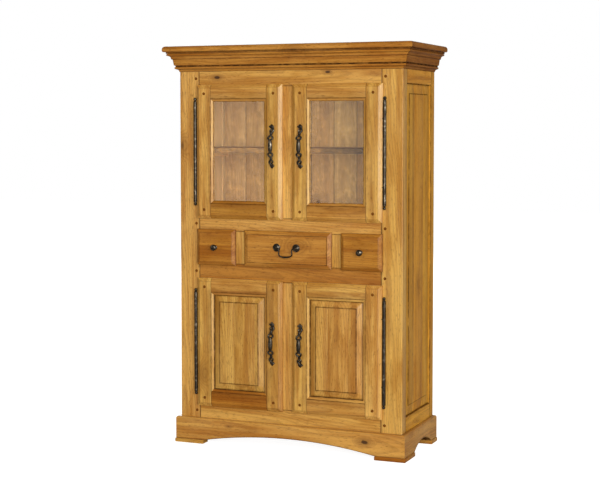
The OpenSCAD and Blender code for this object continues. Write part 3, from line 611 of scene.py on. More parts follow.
def makeSides():
    postY = span("right_front_post", 1)[1]
    rearY = span("right_rear_post", 1)[0]
    low, high = span("side_rails", 2)
    panelZ = span("right_side_panel", 2)
    tongue = sideLook["tongue"]
    shape = Shape()
    for put3d in (onLeft, onRight):
        for z in ((low, panelZ[0] + tongue), (panelZ[1] - tongue, high)):
            plainBoard(shape, put3d, (postY, rearY), z, (-0.024, 0.0), "y", newTone(0.3, 0.6))
    shape.finish("sideRailWood", "sideOak", "case", "side_rails")
    for node, put3d in (("left_side_panel", onLeft), ("right_side_panel", onRight)):
        shape = Shape()
        addRaisedPanel(shape, put3d, span(node, 1), span(node, 2), sideLook, -0.018, "z", 0.50, 0.60)
        shape.finish(node + "Wood", "sideOak", "case", node)


# look: bevel width, tongue width, height of the groove's face, of the field, and the step around the field
def addRaisedPanel(shape, put3d, u, v, look, backHeight, along, lowTone, highTone):
    slope, tongue = look["bevel"], look["tongue"]
    seamRound = 0.0005
    cuts = [u[0] + (u[1] - u[0]) * f for f in look["staves"]]
    bounds = [u[0]] + cuts + [u[1]]

    def front(a, b):
        gap = edgeGap(a, b, u, v)
        if gap <= tongue:
            height = look["groove"]
        elif gap < tongue + slope:
            rise = look["field"] - look["step"] - look["groove"]
            height = look["groove"] + rise * (gap - tongue) / slope
        else:
            height = look["field"] - roundOff(gap - tongue - slope, 0.0008)
        seam = min((abs(a - cut) for cut in cuts), default=1.0)
        return height - roundOff(seam, seamRound)

    # dark lines at the bevel's foot and along the field's step: rubbed-in wax, widened into painted shade
    def waxAndShade(a, b):
        gap = edgeGap(a, b, u, v) - tongue
        return max(nearLine(gap, 0.005), nearLine(gap - slope, 0.0045))

    # the same steps both ways inside the bevel give its mitre lines
    inside = [0.0, 0.0015, 0.004, 0.010, slope - 0.004, slope - 0.0002, slope, slope + 0.0008, slope + 0.004]
    steps = [0.0] + [tongue + step for step in inside]
    seams = [cut + seamRound * step for cut in cuts for step in (-1.0, -0.5, 0.0, 0.5, 1.0)]
    for low, high in zip(bounds, bounds[1:]):
        uLines = [x for x in fromBothEnds(u, steps) + seams if low - 1e-6 <= x <= high + 1e-6]
        addBoard(shape, put3d, uLines + [low, high], fromBothEnds(v, steps), front, lambda a, b: backHeight,
                 lambda a, b: low <= a <= high, along, newTone(lowTone, highTone), waxAndShade)


# doors: two stiles and two rails, bevelled outside, moulded around the opening, mitred where they meet

doorLook = dict(bevelRun=0.016, bevelFall=0.012, sticking=0.014, stickFall=0.007, quirk=0.0005, swell=0.0005,
                arris=0.0006, rebate=0.009, rebateDepth=0.0125, lip=0.008, back=0.0005, face=0.0225)


def stickingDrop(gap):
    width, quirk = doorLook["sticking"], doorLook["quirk"]
    if gap >= width:
        return 0.0
    t = (width - max(gap, 0.0)) / width
    return quirk + (doorLook["stickFall"] - quirk) * t - 4 * doorLook["swell"] * t * (1 - t)


def bevelDrop(gap, run, fall):
    return fall * max(0.0, 1 - max(gap, 0.0) / run)


def makeDoorFrame(level, hand, tones, glazed):
    body = f"{level}_{hand}_door"
    node = f"{body}_frame"
    u, v = span(node, 0), span(node, 2)
    lip = doorLook["lip"]
    inner = f"{body}_glass" if glazed else f"{body}_panel"
    sight = [(span(inner, axis)[0] + lip, span(inner, axis)[1] - lip) for axis in (0, 2)]
    width, run, hair = doorLook["sticking"], doorLook["bevelRun"], 1e-7

    def gaps(a, b):
        across = max(sight[0][0] - a, a - sight[0][1])
        upward = max(sight[1][0] - b, b - sight[1][1])
        return edgeGap(a, b, u, v), across, upward

    def front(a, b):
        outer, across, upward = gaps(a, b)
        height = doorLook["face"] - bevelDrop(outer, run, doorLook["bevelFall"])
        height -= stickingDrop(max(across, upward))
        if upward >= width - hair:
            height -= roundOff(abs(across - width), doorLook["arris"])
        return height

    def back(a, b):
        across, upward = gaps(a, b)[1:]
        if glazed and max(across, upward) < doorLook["rebate"] - hair:
            return doorLook["back"] + doorLook["rebateDepth"]
        return doorLook["back"]

    # dark lines: painted shade along the sight edge and along the sticking's outer edge, dark wax in the
    # mitres, and a faint line at the bevel's foot
    def waxAndShade(a, b):
        outer, across, upward = gaps(a, b)
        inside = max(across, upward)
        stainAndShade = max(nearLine(outer - run, 0.003) * 0.30, nearLine(inside - width, 0.0034),
                    nearLine(inside, 0.0040))
        if upward >= width - hair:
            stainAndShade = max(stainAndShade, nearLine(across - width, 0.0022) * 0.9)
        return stainAndShade

    def member(a, b):
        across, upward = gaps(a, b)[1:]
        if max(across, upward) < 0:
            return None
        if across >= width or (upward < width and across > upward):
            return "left" if a < middle(sight[0]) else "right"
        return "bottom" if b < middle(sight[1]) else "top"

    insideSteps = [-width * k / 6 for k in range(7)]
    insideSteps += [-width - step for step in (0.0002, 0.0006, 0.0025)] + [-0.004, -0.009]
    outsideSteps = [0.0, 0.003, run - 0.003, run, run + 0.003]
    lines = [fromBothEnds(pair, outsideSteps) + fromBothEnds(hole, insideSteps)
             for pair, hole in ((u, sight[0]), (v, sight[1]))]
    lines[0] += fromBothEnds(sight[0], [0.0002 - width, 0.0006 - width])
    shape = Shape()
    for name, along in (("left", "z"), ("right", "z"), ("bottom", "x"), ("top", "x")):
        addBoard(shape, onFront, lines[0], lines[1], front, back, lambda a, b: member(a, b) == name, along,
                 tones[name], waxAndShade)
    if glazed:
        addBeads(shape, sight, tones["left"])
    shape.finish(f"{level}{hand.capitalize()}DoorFrame", "oak", body, node)


def addBeads(shape, sight, tone):
    outline = [(0.0088, 0.0015), (0.0088, 0.0098), (0.0015, 0.0098), (0.0015, 0.0045), (0.0045, 0.0015)]
    section = rounded(outline, [0.0003, 0.0003, 0.0006, 0.0012, 0.0012], 2)
    corners = [(sight[0][0], sight[1][0], -1, -1), (sight[0][1], sight[1][0], 1, -1),
               (sight[0][1], sight[1][1], 1, 1), (sight[0][0], sight[1][1], -1, 1)]
    for k, along in enumerate("xzxz"):
        rings = [[onFront(x + sx * reach, z + sz * reach, height) for reach, height in section]
                 for x, z, sx, sz in (corners[k], corners[(k + 1) % 4])]
        addLoft(shape, rings, along, tone)


panelLook = dict(bevel=0.031, tongue=0.008, groove=0.0065, field=0.0208, step=0.001)


def makeDoorPanel(hand, staves, tones):
    body = f"lower_{hand}_door"
    node = f"{body}_panel"
    shape = Shape()
    look = dict(panelLook, staves=staves)
    addRaisedPanel(shape, onFront, span(node, 0), span(node, 2), look, 0.0035, "z", *tones)
    shape.finish(f"lower{hand.capitalize()}DoorPanel", "oak", body, node)


doorTones = {
    ("upper", "left"): dict(left=0.99, right=0.72, bottom=0.14, top=0.62),
    ("upper", "right"): dict(left=0.88, right=0.72, bottom=0.44, top=0.62),
    ("lower", "left"): dict(left=0.90, right=0.50, bottom=0.03, top=0.58),
    ("lower", "right"): dict(left=0.88, right=0.97, bottom=0.62, top=0.86),
}


# drawer fronts: one board each, with a bevel all around

drawerLook = dict(run=0.016, fall=0.012, stepInset=0.004, stepFall=0.0018, back=0.0005, face=0.0225)


def makeDrawerFront(name, tone, stepped):
    node = f"{name}_drawer_front"
    u, v = span(node, 0), span(node, 2)
    run, fall = drawerLook["run"], drawerLook["fall"]
    inset = run + drawerLook["stepInset"]

    def front(a, b):
        gap = edgeGap(a, b, u, v)
        if not stepped:
            return drawerLook["face"] - bevelDrop(gap, run, fall)
        height = drawerLook["face"] - drawerLook["stepFall"] * (gap < inset - 1e-7)
        return height - bevelDrop(gap, run, fall - drawerLook["stepFall"])

    # dark lines along the step (a fainter one at the bevel's foot on plain fronts) and around the outer edge:
    # dark wax, deepened into painted shade
    def waxAndShade(a, b):
        gap = edgeGap(a, b, u, v)
        line, depth = (inset, 0.8) if stepped else (run, 0.35)
        return max(nearLine(gap - line, 0.003) * depth, nearLine(gap, 0.004) * 0.5)

    steps = [0.0, 0.004, run - 0.003, run, run + 0.003, inset - 0.0003, inset, inset + 0.003, inset + 0.004]
    shape = Shape()
    addBoard(shape, onFront, fromBothEnds(u, steps), fromBothEnds(v, steps), front,
             lambda a, b: drawerLook["back"], lambda a, b: True, "x", tone, waxAndShade)
    shape.finish(f"{name}DrawerFront", "oak", f"{name}_drawer", node)


boxLook = dict(board=0.012, floor=0.006, raised=0.007, tones=(0.4, 0.8))


def makeDrawerBox(name):
    node = f"{name}_drawer_box"
    x, y, z = [span(node, axis) for axis in range(3)]
    t = boxLook["board"]
    within = (x[0] + t, x[1] - t)
    floor = (z[0] + boxLook["raised"] - boxLook["floor"], z[0] + boxLook["raised"])
    shape = Shape()
    for side in ((x[0], x[0] + t), (x[1] - t, x[1])):
        plank(shape, side, y, z, "y", newTone(*boxLook["tones"]), 0.001)
    for end in ((y[0], y[0] + t), (y[1] - t, y[1])):
        plank(shape, within, end, z, "x", newTone(*boxLook["tones"]), 0.001)
    plank(shape, within, (y[0] + t, y[1] - t), floor, "x", newTone(*boxLook["tones"]), 0.0005)
    shape.finish(f"{name}DrawerBox", "innerWood", f"{name}_drawer", node)


def arcPoints(center, radii, start, end, steps):
    result = []
    for k in range(steps + 1):
        angle = math.radians(start + (end - start) * k / steps)
        result.append((center[0] + radii[0] * math.cos(angle), center[1] + radii[1] * math.sin(angle)))
    return result


# the cornice's outline goes up from its foot, in millimetres of reach and height
def corniceOutline():
    n = 7
    mm = [(0, 0), (2, 0)]
    mm += arcPoints((14, 0), (12, 12), 180, 90, n)
    mm += arcPoints((14, 18.5), (6, 5.5), -90, 90, n)
    mm += [(16, 24), (16, 29), (21.4, 30.6), (22, 31.4), (26, 57.4), (26.6, 58.2), (32, 60)]
    mm += arcPoints((42, 63), (10, 11), 180, 90, n)
    mm += arcPoints((43, 80), (6, 5), -90, 90, n)
    mm += [(49.6, 85.6), (50, 86.2), (50, 93)]
    mm += arcPoints((58, 99), (6, 6), -90, 0, n)
    mm += arcPoints((50, 106), (14, 14), 0, 90, n)
    mm += [(-16, 120), (-16, 93), (0, 93)]
    grooves = {(2, 0): 1.0, (16, 24): 1.0, (16, 29): 1.0, (32, 60): 0.9, (50, 93): 0.9, (50, 86.2): 0.5,
               (14, 12): 0.7}
    waxAndShade = [max(depth * nearLine(math.dist(point, groove), 3.5) for groove, depth in grooves.items())
           for point in mm]
    return [(x / 1000, z / 1000) for x, z in mm], waxAndShade


def makeCornice():
    outline, waxAndShade = corniceOutline()
    base = span("cornice_front", 2)[0]
    shape = Shape()
    rings = []
    shares = [0.0, 0.0025, 0.2, 0.4, 0.6, 0.8, 0.9975, 1.0]
    for t in shares:
        rings.append([((halfWidth + reach) * (2 * t - 1), faceY - reach, base + height)
                      for reach, height in outline])
    addLoft(shape, rings, "x", 0.22, waxAndShade, [0.8 if t in (0.0, 1.0) else 0.0 for t in shares])
    shape.finish("corniceFrontWood", "oak", "case", "cornice_front")
    shape = Shape()
    shares = (0.0, 0.006, 0.3, 0.6, 0.9, 1.0)
    for side in (-1, 1):
        rings = []
        for t in shares:
            rings.append([(side * (halfWidth + reach), (faceY - reach) * (1 - t) + backY * t, base + height)
                          for reach, height in outline])
        addLoft(shape, rings, "y", 0.10 + 0.08 * side, waxAndShade, [0.8 if t == 0.0 else 0.0 for t in shares])
    shape.finish("corniceSideWood", "darkOak", "case", "cornice_sides")


plinthLook = dict(round=0.009, arris=0.0015, frontRise=0.041, sideRise=0.039, foot=0.150, rearFoot=0.088,
                  columns=48)


def plinthSection(bottom, high, thick):
    radius, arris = plinthLook["round"], plinthLook["arris"]
    points = [(0.0, bottom), (thick - arris, bottom)]
    points += arcPoints((thick - arris, bottom + arris), (arris, arris), -90, 0, 2)[1:]
    points += [(thick, bottom + 0.006)]
    points += arcPoints((thick - radius, high - radius), (radius, radius), 0, 90, 6)
    points += [(0.004, high), (0.0, high)]
    waxAndShade = [0.9, 0.8, 0.6, 0.6] + [0.0] * 9 + [0.9]
    return points, waxAndShade


def archHeight(place, center, half, rise, low):
    radius = (half * half + rise * rise) / (2 * rise)
    gap = abs(place - center)
    if gap >= half:
        return low
    return low + rise - radius + math.sqrt(radius * radius - gap * gap)


def makePlinth():
    low, high = span("plinth_front", 2)
    thick = span("plinth_front", 0)[1] - halfWidth
    half = halfWidth + thick - plinthLook["foot"]
    count = plinthLook["columns"]
    shares = [2 * k / count - 1 for k in range(count + 1)]
    points, waxAndShade = plinthSection(low, high, thick)
    ends = [[(side * (halfWidth + reach), faceY - reach, z) for reach, z in points] for side in (-1, 1)]
    rings = []
    for place in (half * share for share in shares):
        bottom = archHeight(place, 0.0, half, plinthLook["frontRise"], low)
        points, waxAndShade = plinthSection(bottom, high, thick)
        rings.append([(place, faceY - reach, z) for reach, z in points])
    shape = Shape()
    addLoft(shape, [ends[0], *rings, ends[1]], "x", 0.60, waxAndShade)
    shape.finish("plinthFrontWood", "oak", "case", "plinth_front")
    shape = Shape()
    archY = (faceY - thick + plinthLook["foot"], backY - plinthLook["rearFoot"])
    half = (archY[1] - archY[0]) / 2
    places = [middle(archY) + half * share for share in shares] + [backY - 0.0015, backY]
    for side in (-1, 1):
        points, waxAndShade = plinthSection(low, high, thick)
        rings = [[(side * (halfWidth + reach), faceY - reach, z) for reach, z in points]]
        for place in places:
            bottom = archHeight(place, middle(archY), half, plinthLook["sideRise"], low)
            points, waxAndShade = plinthSection(bottom, high, thick)
            rings.append([(side * (halfWidth + reach), place, z) for reach, z in points])
        addLoft(shape, rings, "y", 0.45, waxAndShade)
    shape.finish("plinthSideWood", "oak", "case", "plinth_sides")


# foot pads: under each front corner two that meet, and one under each rear corner
def makeFootPads():
    low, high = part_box("foot_pads")
    foot, rearFoot = plinthLook["foot"], plinthLook["rearFoot"]
    tip, strip, play = high[0], 0.030, 0.0002
    pads = [((tip - foot, tip), (low[1], faceY + strip), "x"),
            ((halfWidth - strip, tip), (faceY + strip + play, low[1] + foot), "y"),
            ((halfWidth - rearPost, tip), (backY - rearFoot, backY), "x")]
    shape = Shape()
    for side in (-1, 1):
        for x, y, along in pads:
            plank(shape, sorted((side * x[0], side * x[1])), y, (0.0, high[2]), along, newTone())
    shape.finish("footPadWood", "oak", "case", "foot_pads")


# inside and back: boards laid between the posts

insideLook = dict(deck=0.020, shelf=0.024, bearer=(0.020, 0.022), backRail=0.070, backRailFoot=0.142,
                  guide=0.020, kickerPlay=0.004, play=0.001, strip=0.014)


def makeInside():
    x, y = span("decks", 0), span("decks", 1)
    shape = Shape()
    for rail in ("front_bottom_rail", "front_lower_rail", "front_middle_rail"):
        top = span(rail, 2)[1]
        plank(shape, x, y, (top - insideLook["deck"], top), "x", newTone())
    shape.finish("deckWood", "innerWood", "case", "decks")
    x, y, z = [span("shelves", axis) for axis in range(3)]
    shape = Shape()
    # the shelves' wood is darker and their front edges darker still: painted shade inside the case
    for foot in (z[0], z[1] - insideLook["shelf"]):
        plank(shape, x, y, (foot, foot + insideLook["shelf"]), "x", newTone(0.2, 0.5), 0.002, 0.95)
    shape.finish("shelfWood", "shelfShadedOak", "case", "shelves")
    x, y, z = [span("shelf_bearers", axis) for axis in range(3)]
    wide, tall = insideLook["bearer"]
    shape = Shape()
    for pair in ((x[0], x[0] + wide), (x[1] - wide, x[1])):
        for foot in (z[0], z[1] - tall):
            plank(shape, pair, y, (foot, foot + tall), "y", newTone())
    shape.finish("shelfBearerWood", "innerWood", "case", "shelf_bearers")
    plankNode("top_board", "x", "topOak")
    plankNode("plinth_back", "x", "innerWood")
    makeGuides()
    inner, tall = halfWidth - rearPost, insideLook["backRail"]
    shape = Shape()
    for foot in (insideLook["backRailFoot"], middle(span("left_drawer_front", 2)) - tall / 2, caseTop - tall):
        plank(shape, (-inner, inner), span("plinth_back", 1), (foot, foot + tall), "x", newTone(0.5, 0.9))
    shape.finish("backRailWood", "innerWood", "case", "back_rails")


def makeGuides():
    y, z = span("drawer_guides", 1), span("drawer_guides", 2)
    guide = (z[0], z[0] + insideLook["guide"])
    kicker = (span("left_drawer_box", 2)[1] + insideLook["kickerPlay"], z[1])
    outer = span("drawer_dividers", 0)[1]
    inner = outer - frameLook["divider"]
    play, strip = insideLook["play"], insideLook["strip"]
    strips = [((inner + play, outer - play), guide), ((postInner + play, postInner + play + strip), guide),
              ((inner - strip, outer + strip), kicker),
              ((postInner - play - strip, postInner + play + strip), kicker)]
    shape = Shape()
    for x, height in strips:
        for pair in (x, (-x[1], -x[0])):
            plank(shape, pair, y, height, "y", newTone())
    shape.finish("drawerGuideWood", "innerWood", "case", "drawer_guides")


# Geometry Nodes: a tree with named inputs, set on a carrier object, read back as a plain mesh
def newTree(name, sockets):
    tree = bpy.data.node_groups.new(name, "GeometryNodeTree")
    tree.interface.new_socket("Geometry", in_out="INPUT", socket_type="NodeSocketGeometry")
    for label, kind in sockets.items():
        tree.interface.new_socket(label, in_out="INPUT", socket_type="NodeSocket" + kind)
    tree.interface.new_socket("Geometry", in_out="OUTPUT", socket_type="NodeSocketGeometry")
    nodes = Nodes(tree)
    return nodes, nodes.put("NodeGroupInput").outputs, nodes.put("NodeGroupOutput").inputs


# real copies of an object at every point, each turned as asked
def copiesAt(nodes, points, source, turn=(0.0, 0.0, 0.0)):
    source = nodes.put("GeometryNodeObjectInfo", {0: source}).outputs["Geometry"]
    inputs = {"Points": points, "Instance": source, "Rotation": turn}
    copies = nodes.put("GeometryNodeInstanceOnPoints", inputs)
    return nodes.put("GeometryNodeRealizeInstances", {0: copies.outputs[0]}).outputs[0]


def endTree(nodes, geometry, given, result):
    finished = nodes.put("GeometryNodeSetMaterial", {0: geometry, "Material": given["Material"]})
    nodes.link(finished.outputs[0], result[0])


def runTree(nodes, name, base, values):
    carrier = bpy.data.objects.new(name, base)
    scene.collection.objects.link(carrier)
    modifier = carrier.modifiers.new("pattern", "NODES")
    modifier.node_group = nodes.tree
    for item in nodes.tree.interface.items_tree:
        if item.item_type == "SOCKET" and item.in_out == "INPUT" and item.name in values:
            modifier[item.identifier] = values[item.name]
    bpy.context.view_layer.update()
    evaluated = carrier.evaluated_get(bpy.context.evaluated_depsgraph_get())
    mesh = bpy.data.meshes.new_from_object(evaluated)
    carrier.modifiers.remove(modifier)
    carrier.data = mesh
    mesh.name = name
    return carrier


backLook = dict(count=9, gap=0.0008, chamfer=0.002, seed=12)


def makeBackBoards():
    low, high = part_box("back_boards")
    pitch = (high[0] - low[0]) / backLook["count"]
    shape = Shape()
    half = (pitch - backLook["gap"]) / 2
    c = backLook["chamfer"]
    outline = [(-half, high[1]), (half, high[1]), (half, low[1] + c), (half - c, low[1]), (-half + c, low[1]),
               (-half, low[1] + c)]
    section = rounded(outline, [0.0004, 0.0004, 0.0004, 0.0006, 0.0006, 0.0004], 2)
    stainAndShade = [0.4, 0.4, 1.0, 0.5, 0.5, 1.0]
    rings = [[(x, y, z) for x, y in section] for z in (low[2], low[2] + 0.6, low[2] + 1.2, high[2])]
    addLoft(shape, rings, "z", 0.5, [stainAndShade[k // 3] for k in range(len(section))])
    board = shape.build("backBoard", "innerWood")
    nodes, given, result = newTree("boardRow", dict(Board="Object", Count="Int", Pitch="Float", Start="Float",
                                                    Seed="Int", Material="Material"))
    start = nodes.put("ShaderNodeCombineXYZ", {0: given["Start"]}).outputs[0]
    step = nodes.put("ShaderNodeCombineXYZ", {0: given["Pitch"]}).outputs[0]
    row = {"Count": given["Count"], "Start Location": start, "Offset": step}
    row = nodes.put("GeometryNodeMeshLine", row)
    boards = copiesAt(nodes, row.outputs[0], given["Board"])
    # every board is one island, so its number picks its tone
    island = nodes.put("GeometryNodeInputMeshIsland").outputs["Island Index"]
    tone = nodes.put("FunctionNodeRandomValue", {"ID": island, "Seed": given["Seed"]}, data_type="FLOAT")
    toned = nodes.put("GeometryNodeStoreNamedAttribute", {"Geometry": boards, "Name": "tone"},
                      data_type="FLOAT", domain="POINT")
    nodes.link(tone.outputs[1], toned.inputs["Value"])
    endTree(nodes, toned.outputs[0], given, result)
    piece = runTree(nodes, "backBoardWood", bpy.data.meshes.new("empty"), {
        "Board": board, "Count": backLook["count"], "Pitch": pitch, "Start": low[0] + pitch / 2,
        "Seed": backLook["seed"], "Material": materials["innerWood"]})
    bpy.data.objects.remove(board)
    finishPiece(piece, "case", "back_boards")


# pegs: faceted by hand, a little proud, each turned its own way

pegLook = dict(radius=0.0055, proud=0.0012, sides=8, length=0.010, stainAndShade=0.0016, skin=0.0001,
               waxAndShade=[1.0, 1.0, 1.0, 1.0, 0.9, 0.45, 0.35])


def makePegs(name, body, node, places, surface):
    seeds = bpy.data.meshes.new(name + "Seeds")
    seeds.from_pydata([onFront(x, z, surface) for x, z in places], [], [])
    r, proud, skin = pegLook["radius"], pegLook["proud"], pegLook["skin"]
    rim = r + pegLook["stainAndShade"]
    profile = [(r, -pegLook["length"]), (rim, -skin * 5), (rim, skin * 0.5), (r + skin, skin),
               (r, proud * 0.35), (r * 0.80, proud * 0.9), (r * 0.35, proud)]
    shape = Shape()
    addLathe(shape, profile, lambda a, b, h: (a, -h, b), pegLook["sides"], "y", 0.2, pegLook["waxAndShade"])
    peg = shape.build("peg", "darkOak", 30)
    nodes, given, result = newTree("pegScatter", dict(Peg="Object", Seed="Int", Material="Material"))
    turn = {"Seed": given["Seed"], 2: 0.0, 3: 2 * math.pi}
    turn = nodes.put("FunctionNodeRandomValue", turn, data_type="FLOAT")
    turn = nodes.put("ShaderNodeCombineXYZ", {1: turn.outputs[1]}).outputs[0]
    endTree(nodes, copiesAt(nodes, given["Geometry"], given["Peg"], turn), given, result)
    piece = runTree(nodes, name, seeds, {"Peg": peg, "Seed": len(places), "Material": materials["darkOak"]})
    bpy.data.objects.remove(peg)
    finishPiece(piece, body, node)


def makeAllPegs():
    low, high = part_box("frame_pegs")
    r = pegLook["radius"]
    rails = [middle(span(rail, 2)) for rail in ("front_lower_rail", "front_middle_rail")]
    places = [(side * (high[0] - r), z) for side in (-1, 1) for z in (low[2] + r, *rails, high[2] - r)]
    makePegs("framePegs", "case", "frame_pegs", places, 0.0)
    for level, hand in doorTones:
        body = f"{level}_{hand}_door"
        low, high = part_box(f"{body}_pegs")
        places = [(a, b) for a in (low[0] + r, high[0] - r) for b in (low[2] + r, high[2] - r)]
        makePegs(f"{level}{hand.capitalize()}DoorPegs", body, f"{body}_pegs", places, doorLook["face"])


# ironwork: hinges, pulls, knobs and the bail

hingeLook = dict(radius=0.008, pin=0.004, bore=0.0041, edge=0.0006, groove=0.0012, play=0.0004, pinReach=0.05,
                 shank=0.003, shankInset=0.024)


def makeHinges():
    x = span("hinge_pins", 0)[1] - hingeLook["pin"]
    y = middle(span("hinge_pins", 1))
    r, bore, edge = hingeLook["radius"], hingeLook["bore"], hingeLook["edge"]
    knuckles, pins = Shape(), Shape()
    for level, hand in doorTones:
        side = -1 if hand == "left" else 1
        node = f"{level}_{hand}_hinge_barrel"
        low, high = span(node, 2)
        barrel = Shape()

        def turned(a, b, h):
            return (side * x + a, y + b, h)

        def sideways(a, b, h):
            return (side * h, y + a, shankHeight + b)

        profile = [(bore, low), (r - edge, low), (r, low + edge)]
        for place in (low + 0.006, low + 0.012, high - 0.012, high - 0.006):
            profile += [(r, place - 0.0010), (r - hingeLook["groove"], place), (r, place + 0.0010)]
        profile += [(r, high - edge), (r - edge, high), (bore, high)]
        addLathe(barrel, profile, turned)
        for shankHeight in (low + hingeLook["shankInset"], high - hingeLook["shankInset"]):
            shank = [(hingeLook["shank"], x - 0.0065), (hingeLook["shank"], x - 0.016)]
            addLathe(barrel, shank, sideways, 12, "x")
        barrel.finish(f"{level}{hand.capitalize()}HingeBarrel", "iron", f"{level}_{hand}_door", node)
        for end, start in ((-1, low - hingeLook["play"]), (1, high + hingeLook["play"])):
            addKnuckle(knuckles, side * x, y, start, end)
        reach = hingeLook["pinReach"]
        addLathe(pins, [(hingeLook["pin"], low - reach), (hingeLook["pin"], high + reach)], turned, 16)
    knuckles.finish("hingeKnuckles", "iron", "case", "hinge_knuckles")
    pins.finish("hingePins", "pinSteel", "case", "hinge_pins")


def addKnuckle(shape, x, y, start, end):
    length, r, edge = 0.078, hingeLook["radius"], hingeLook["edge"]
    profile = [(hingeLook["bore"], 0.0), (r - edge, 0.0), (r, edge), (r, 0.0050), (r - 0.0012, 0.0060),
               (r, 0.0070), (r, 0.050), (r - 0.0012, 0.051), (r, 0.052), (r, 0.0575), (r - edge, 0.0582),
               (r - 0.0024, 0.0600), (r - 0.0024, 0.0612)]
    # a turned ball ends it
    profile += arcPoints((0.0, 0.0690), (0.0072, 0.0078), -60, 90, 10)
    profile.append((0.0, length - 0.0008))
    addLathe(shape, profile, lambda a, b, h: (x + a, y + b, start + end * h))
    z = start + end * length / 2
    shank = [(0.0030, y + 0.004), (0.0030, faceY + 0.001), (0.0026, faceY + 0.012)]
    addLathe(shape, shank, lambda a, b, h: (x + a, h, z + b), 12, "y")


def smoothPath(points, steps=8):
    pts = [Vector(p) for p in points]
    result = []
    for i in range(len(pts) - 1):
        a, b = pts[max(i - 1, 0)], pts[i]
        c, d = pts[i + 1], pts[min(i + 2, len(pts) - 1)]
        for k in range(steps):
            t = k / steps
            result.append(b + (c - a) / 2 * t + (a * 2 - b * 5 + c * 4 - d) / 2 * t * t
                          + (b * 3 - a - c * 3 + d) / 2 * t * t * t)
    result.append(pts[-1])
    return result


# rod: points of (x, outward, z, radius, flatness), flattened toward the door
def addRod(shape, put3d, knots, sides=14, steps=8, thicker=1.0):
    path = smoothPath([k[:3] for k in knots], steps)
    extra = smoothPath([(k[3], k[4], 0.0) for k in knots], steps)
    rings = []
    for i, here in enumerate(path):
        ahead = (path[min(i + 1, len(path) - 1)] - path[max(i - 1, 0)]).normalized()
        across = ahead.cross(Vector((0, 1, 0)))
        if across.length < 1e-4:
            across = Vector((1, 0, 0))
        across.normalize()
        outward = across.cross(ahead)
        radius, flat = extra[i][0] * thicker, extra[i][1]
        rings.append([put3d(*(here + across * a + outward * flat * b)) for a, b in circle(radius, sides)])
    addLoft(shape, rings, "z", 0.5)


# pull: half of it, from the middle of the grip to the leaf; the other half is the same, turned half round
# points are millimetres: across, outward, upward, radius, flatness

pullLook = dict(
    thicker=1.5, wider=1.16,
    grip=[(0, 25, -29, 4.6, 0.9), (0, 25.2, -24, 7.0, 0.85), (0, 25.4, -14, 8.9, 0.8), (0, 25.5, 0, 9.4, 0.8),
          (0, 25.4, 14, 8.9, 0.8), (0, 25.2, 24, 7.0, 0.85), (0, 25, 29, 4.6, 0.9)],
    collar=[(0, 26, 27, 4.4, 1), (0, 26, 28.4, 5.6, 1), (0, 25.6, 30, 5.2, 1), (0, 25, 31.4, 3.4, 1)],
    longStrand=[(0, 26, 29, 3.0, 1), (7.2, 24.8, 33, 2.9, 1), (9.6, 22.4, 39, 2.7, 1),
                (6.0, 19.4, 46, 2.8, 1), (0.4, 17.2, 51, 3.0, 1), (-1.6, 14.6, 57, 3.2, 1),
                (2.6, 11.8, 64, 3.2, 1),
                (8.0, 9.4, 72, 3.3, 0.95), (6.4, 7.6, 80, 3.4, 0.9), (0.2, 6.2, 87, 3.6, 0.85),
                (-6.0, 5.4, 91.5, 3.7, 0.85), (-8.4, 5.0, 95.0, 2.8, 0.9)],
    shortStrand=[(0, 26, 29, 3.0, 1), (-7.2, 24.8, 33, 2.9, 1), (-9.4, 22.4, 39, 2.7, 1),
                 (-6.0, 19.4, 46, 2.8, 1), (-0.4, 17.2, 51, 3.0, 1), (3.0, 14.4, 56, 2.2, 1),
                 (6.0, 12.0, 58.5, 1.2, 1)],
    curl=[(2.0, 12.4, 62, 2.0, 1), (-3.6, 10.0, 66, 2.2, 1), (-5.6, 8.4, 72, 2.3, 1), (-2.8, 7.2, 77, 2.2, 1),
          (0.6, 6.8, 76, 1.5, 1)],
    leaf=[(3.0, 4.0, 76, 1.4, 0.8), (2.4, 3.8, 81, 3.4, 0.7), (0.8, 3.6, 88, 6.2, 0.55),
          (-0.4, 3.6, 95, 5.2, 0.55), (-0.8, 3.4, 100, 2.6, 0.7), (-1.2, 3.4, 103.6, 0.5, 0.8)],
    screw=(0.4, 90))


def makePull(level, hand):
    body = f"{level}_{hand}_door"
    node = f"{level}_{hand}_handle"
    x, z = middle(span(node, 0)), middle(span(node, 2))

    def placed(turn):
        def put3d(a, w, b):
            a, w, b = turn * pullLook["wider"] * a / 1000, w / 1000, turn * b / 1000
            return onFront(x + a, z + b, doorLook["face"] + w)
        return put3d

    shape = Shape()
    addRod(shape, placed(1), pullLook["grip"])
    for turn in (-1, 1):
        for part in ("collar", "longStrand", "shortStrand", "curl", "leaf"):
            addRod(shape, placed(turn), pullLook[part], 12, 6, pullLook["thicker"])
        addScrew(shape, placed(turn), pullLook["screw"])
    shape.finish(f"{level}{hand.capitalize()}Pull", "iron", body, node, smoothAngle=50)


# a domed head, in millimetres
def addScrew(shape, put3d, place):
    addLathe(shape, [(4.2, 0.0), (4.2, 4.8), (3.4, 6.0), (1.8, 6.4)],
             lambda a, b, h: put3d(place[0] + a, h, place[1] + b), 14)


# a knob's profile from its screw to its ball, in millimetres of radius and height
knobLook = dict(
    stem=[(0, -15.0), (2.9, -15.0), (2.9, 0.0), (9.8, 0.0), (10.4, 0.6), (10.4, 1.6), (9.6, 2.6), (7.8, 3.2),
          (6.2, 5.4), (5.4, 8.6), (5.6, 11.4), (7.2, 13.6), (9.0, 14.4), (9.4, 15.2), (9.0, 16.0)],
    ball=[(0.0, 22.2), (15.0, 7.7), -50, 76, 9], top=(0.0, 29.9))


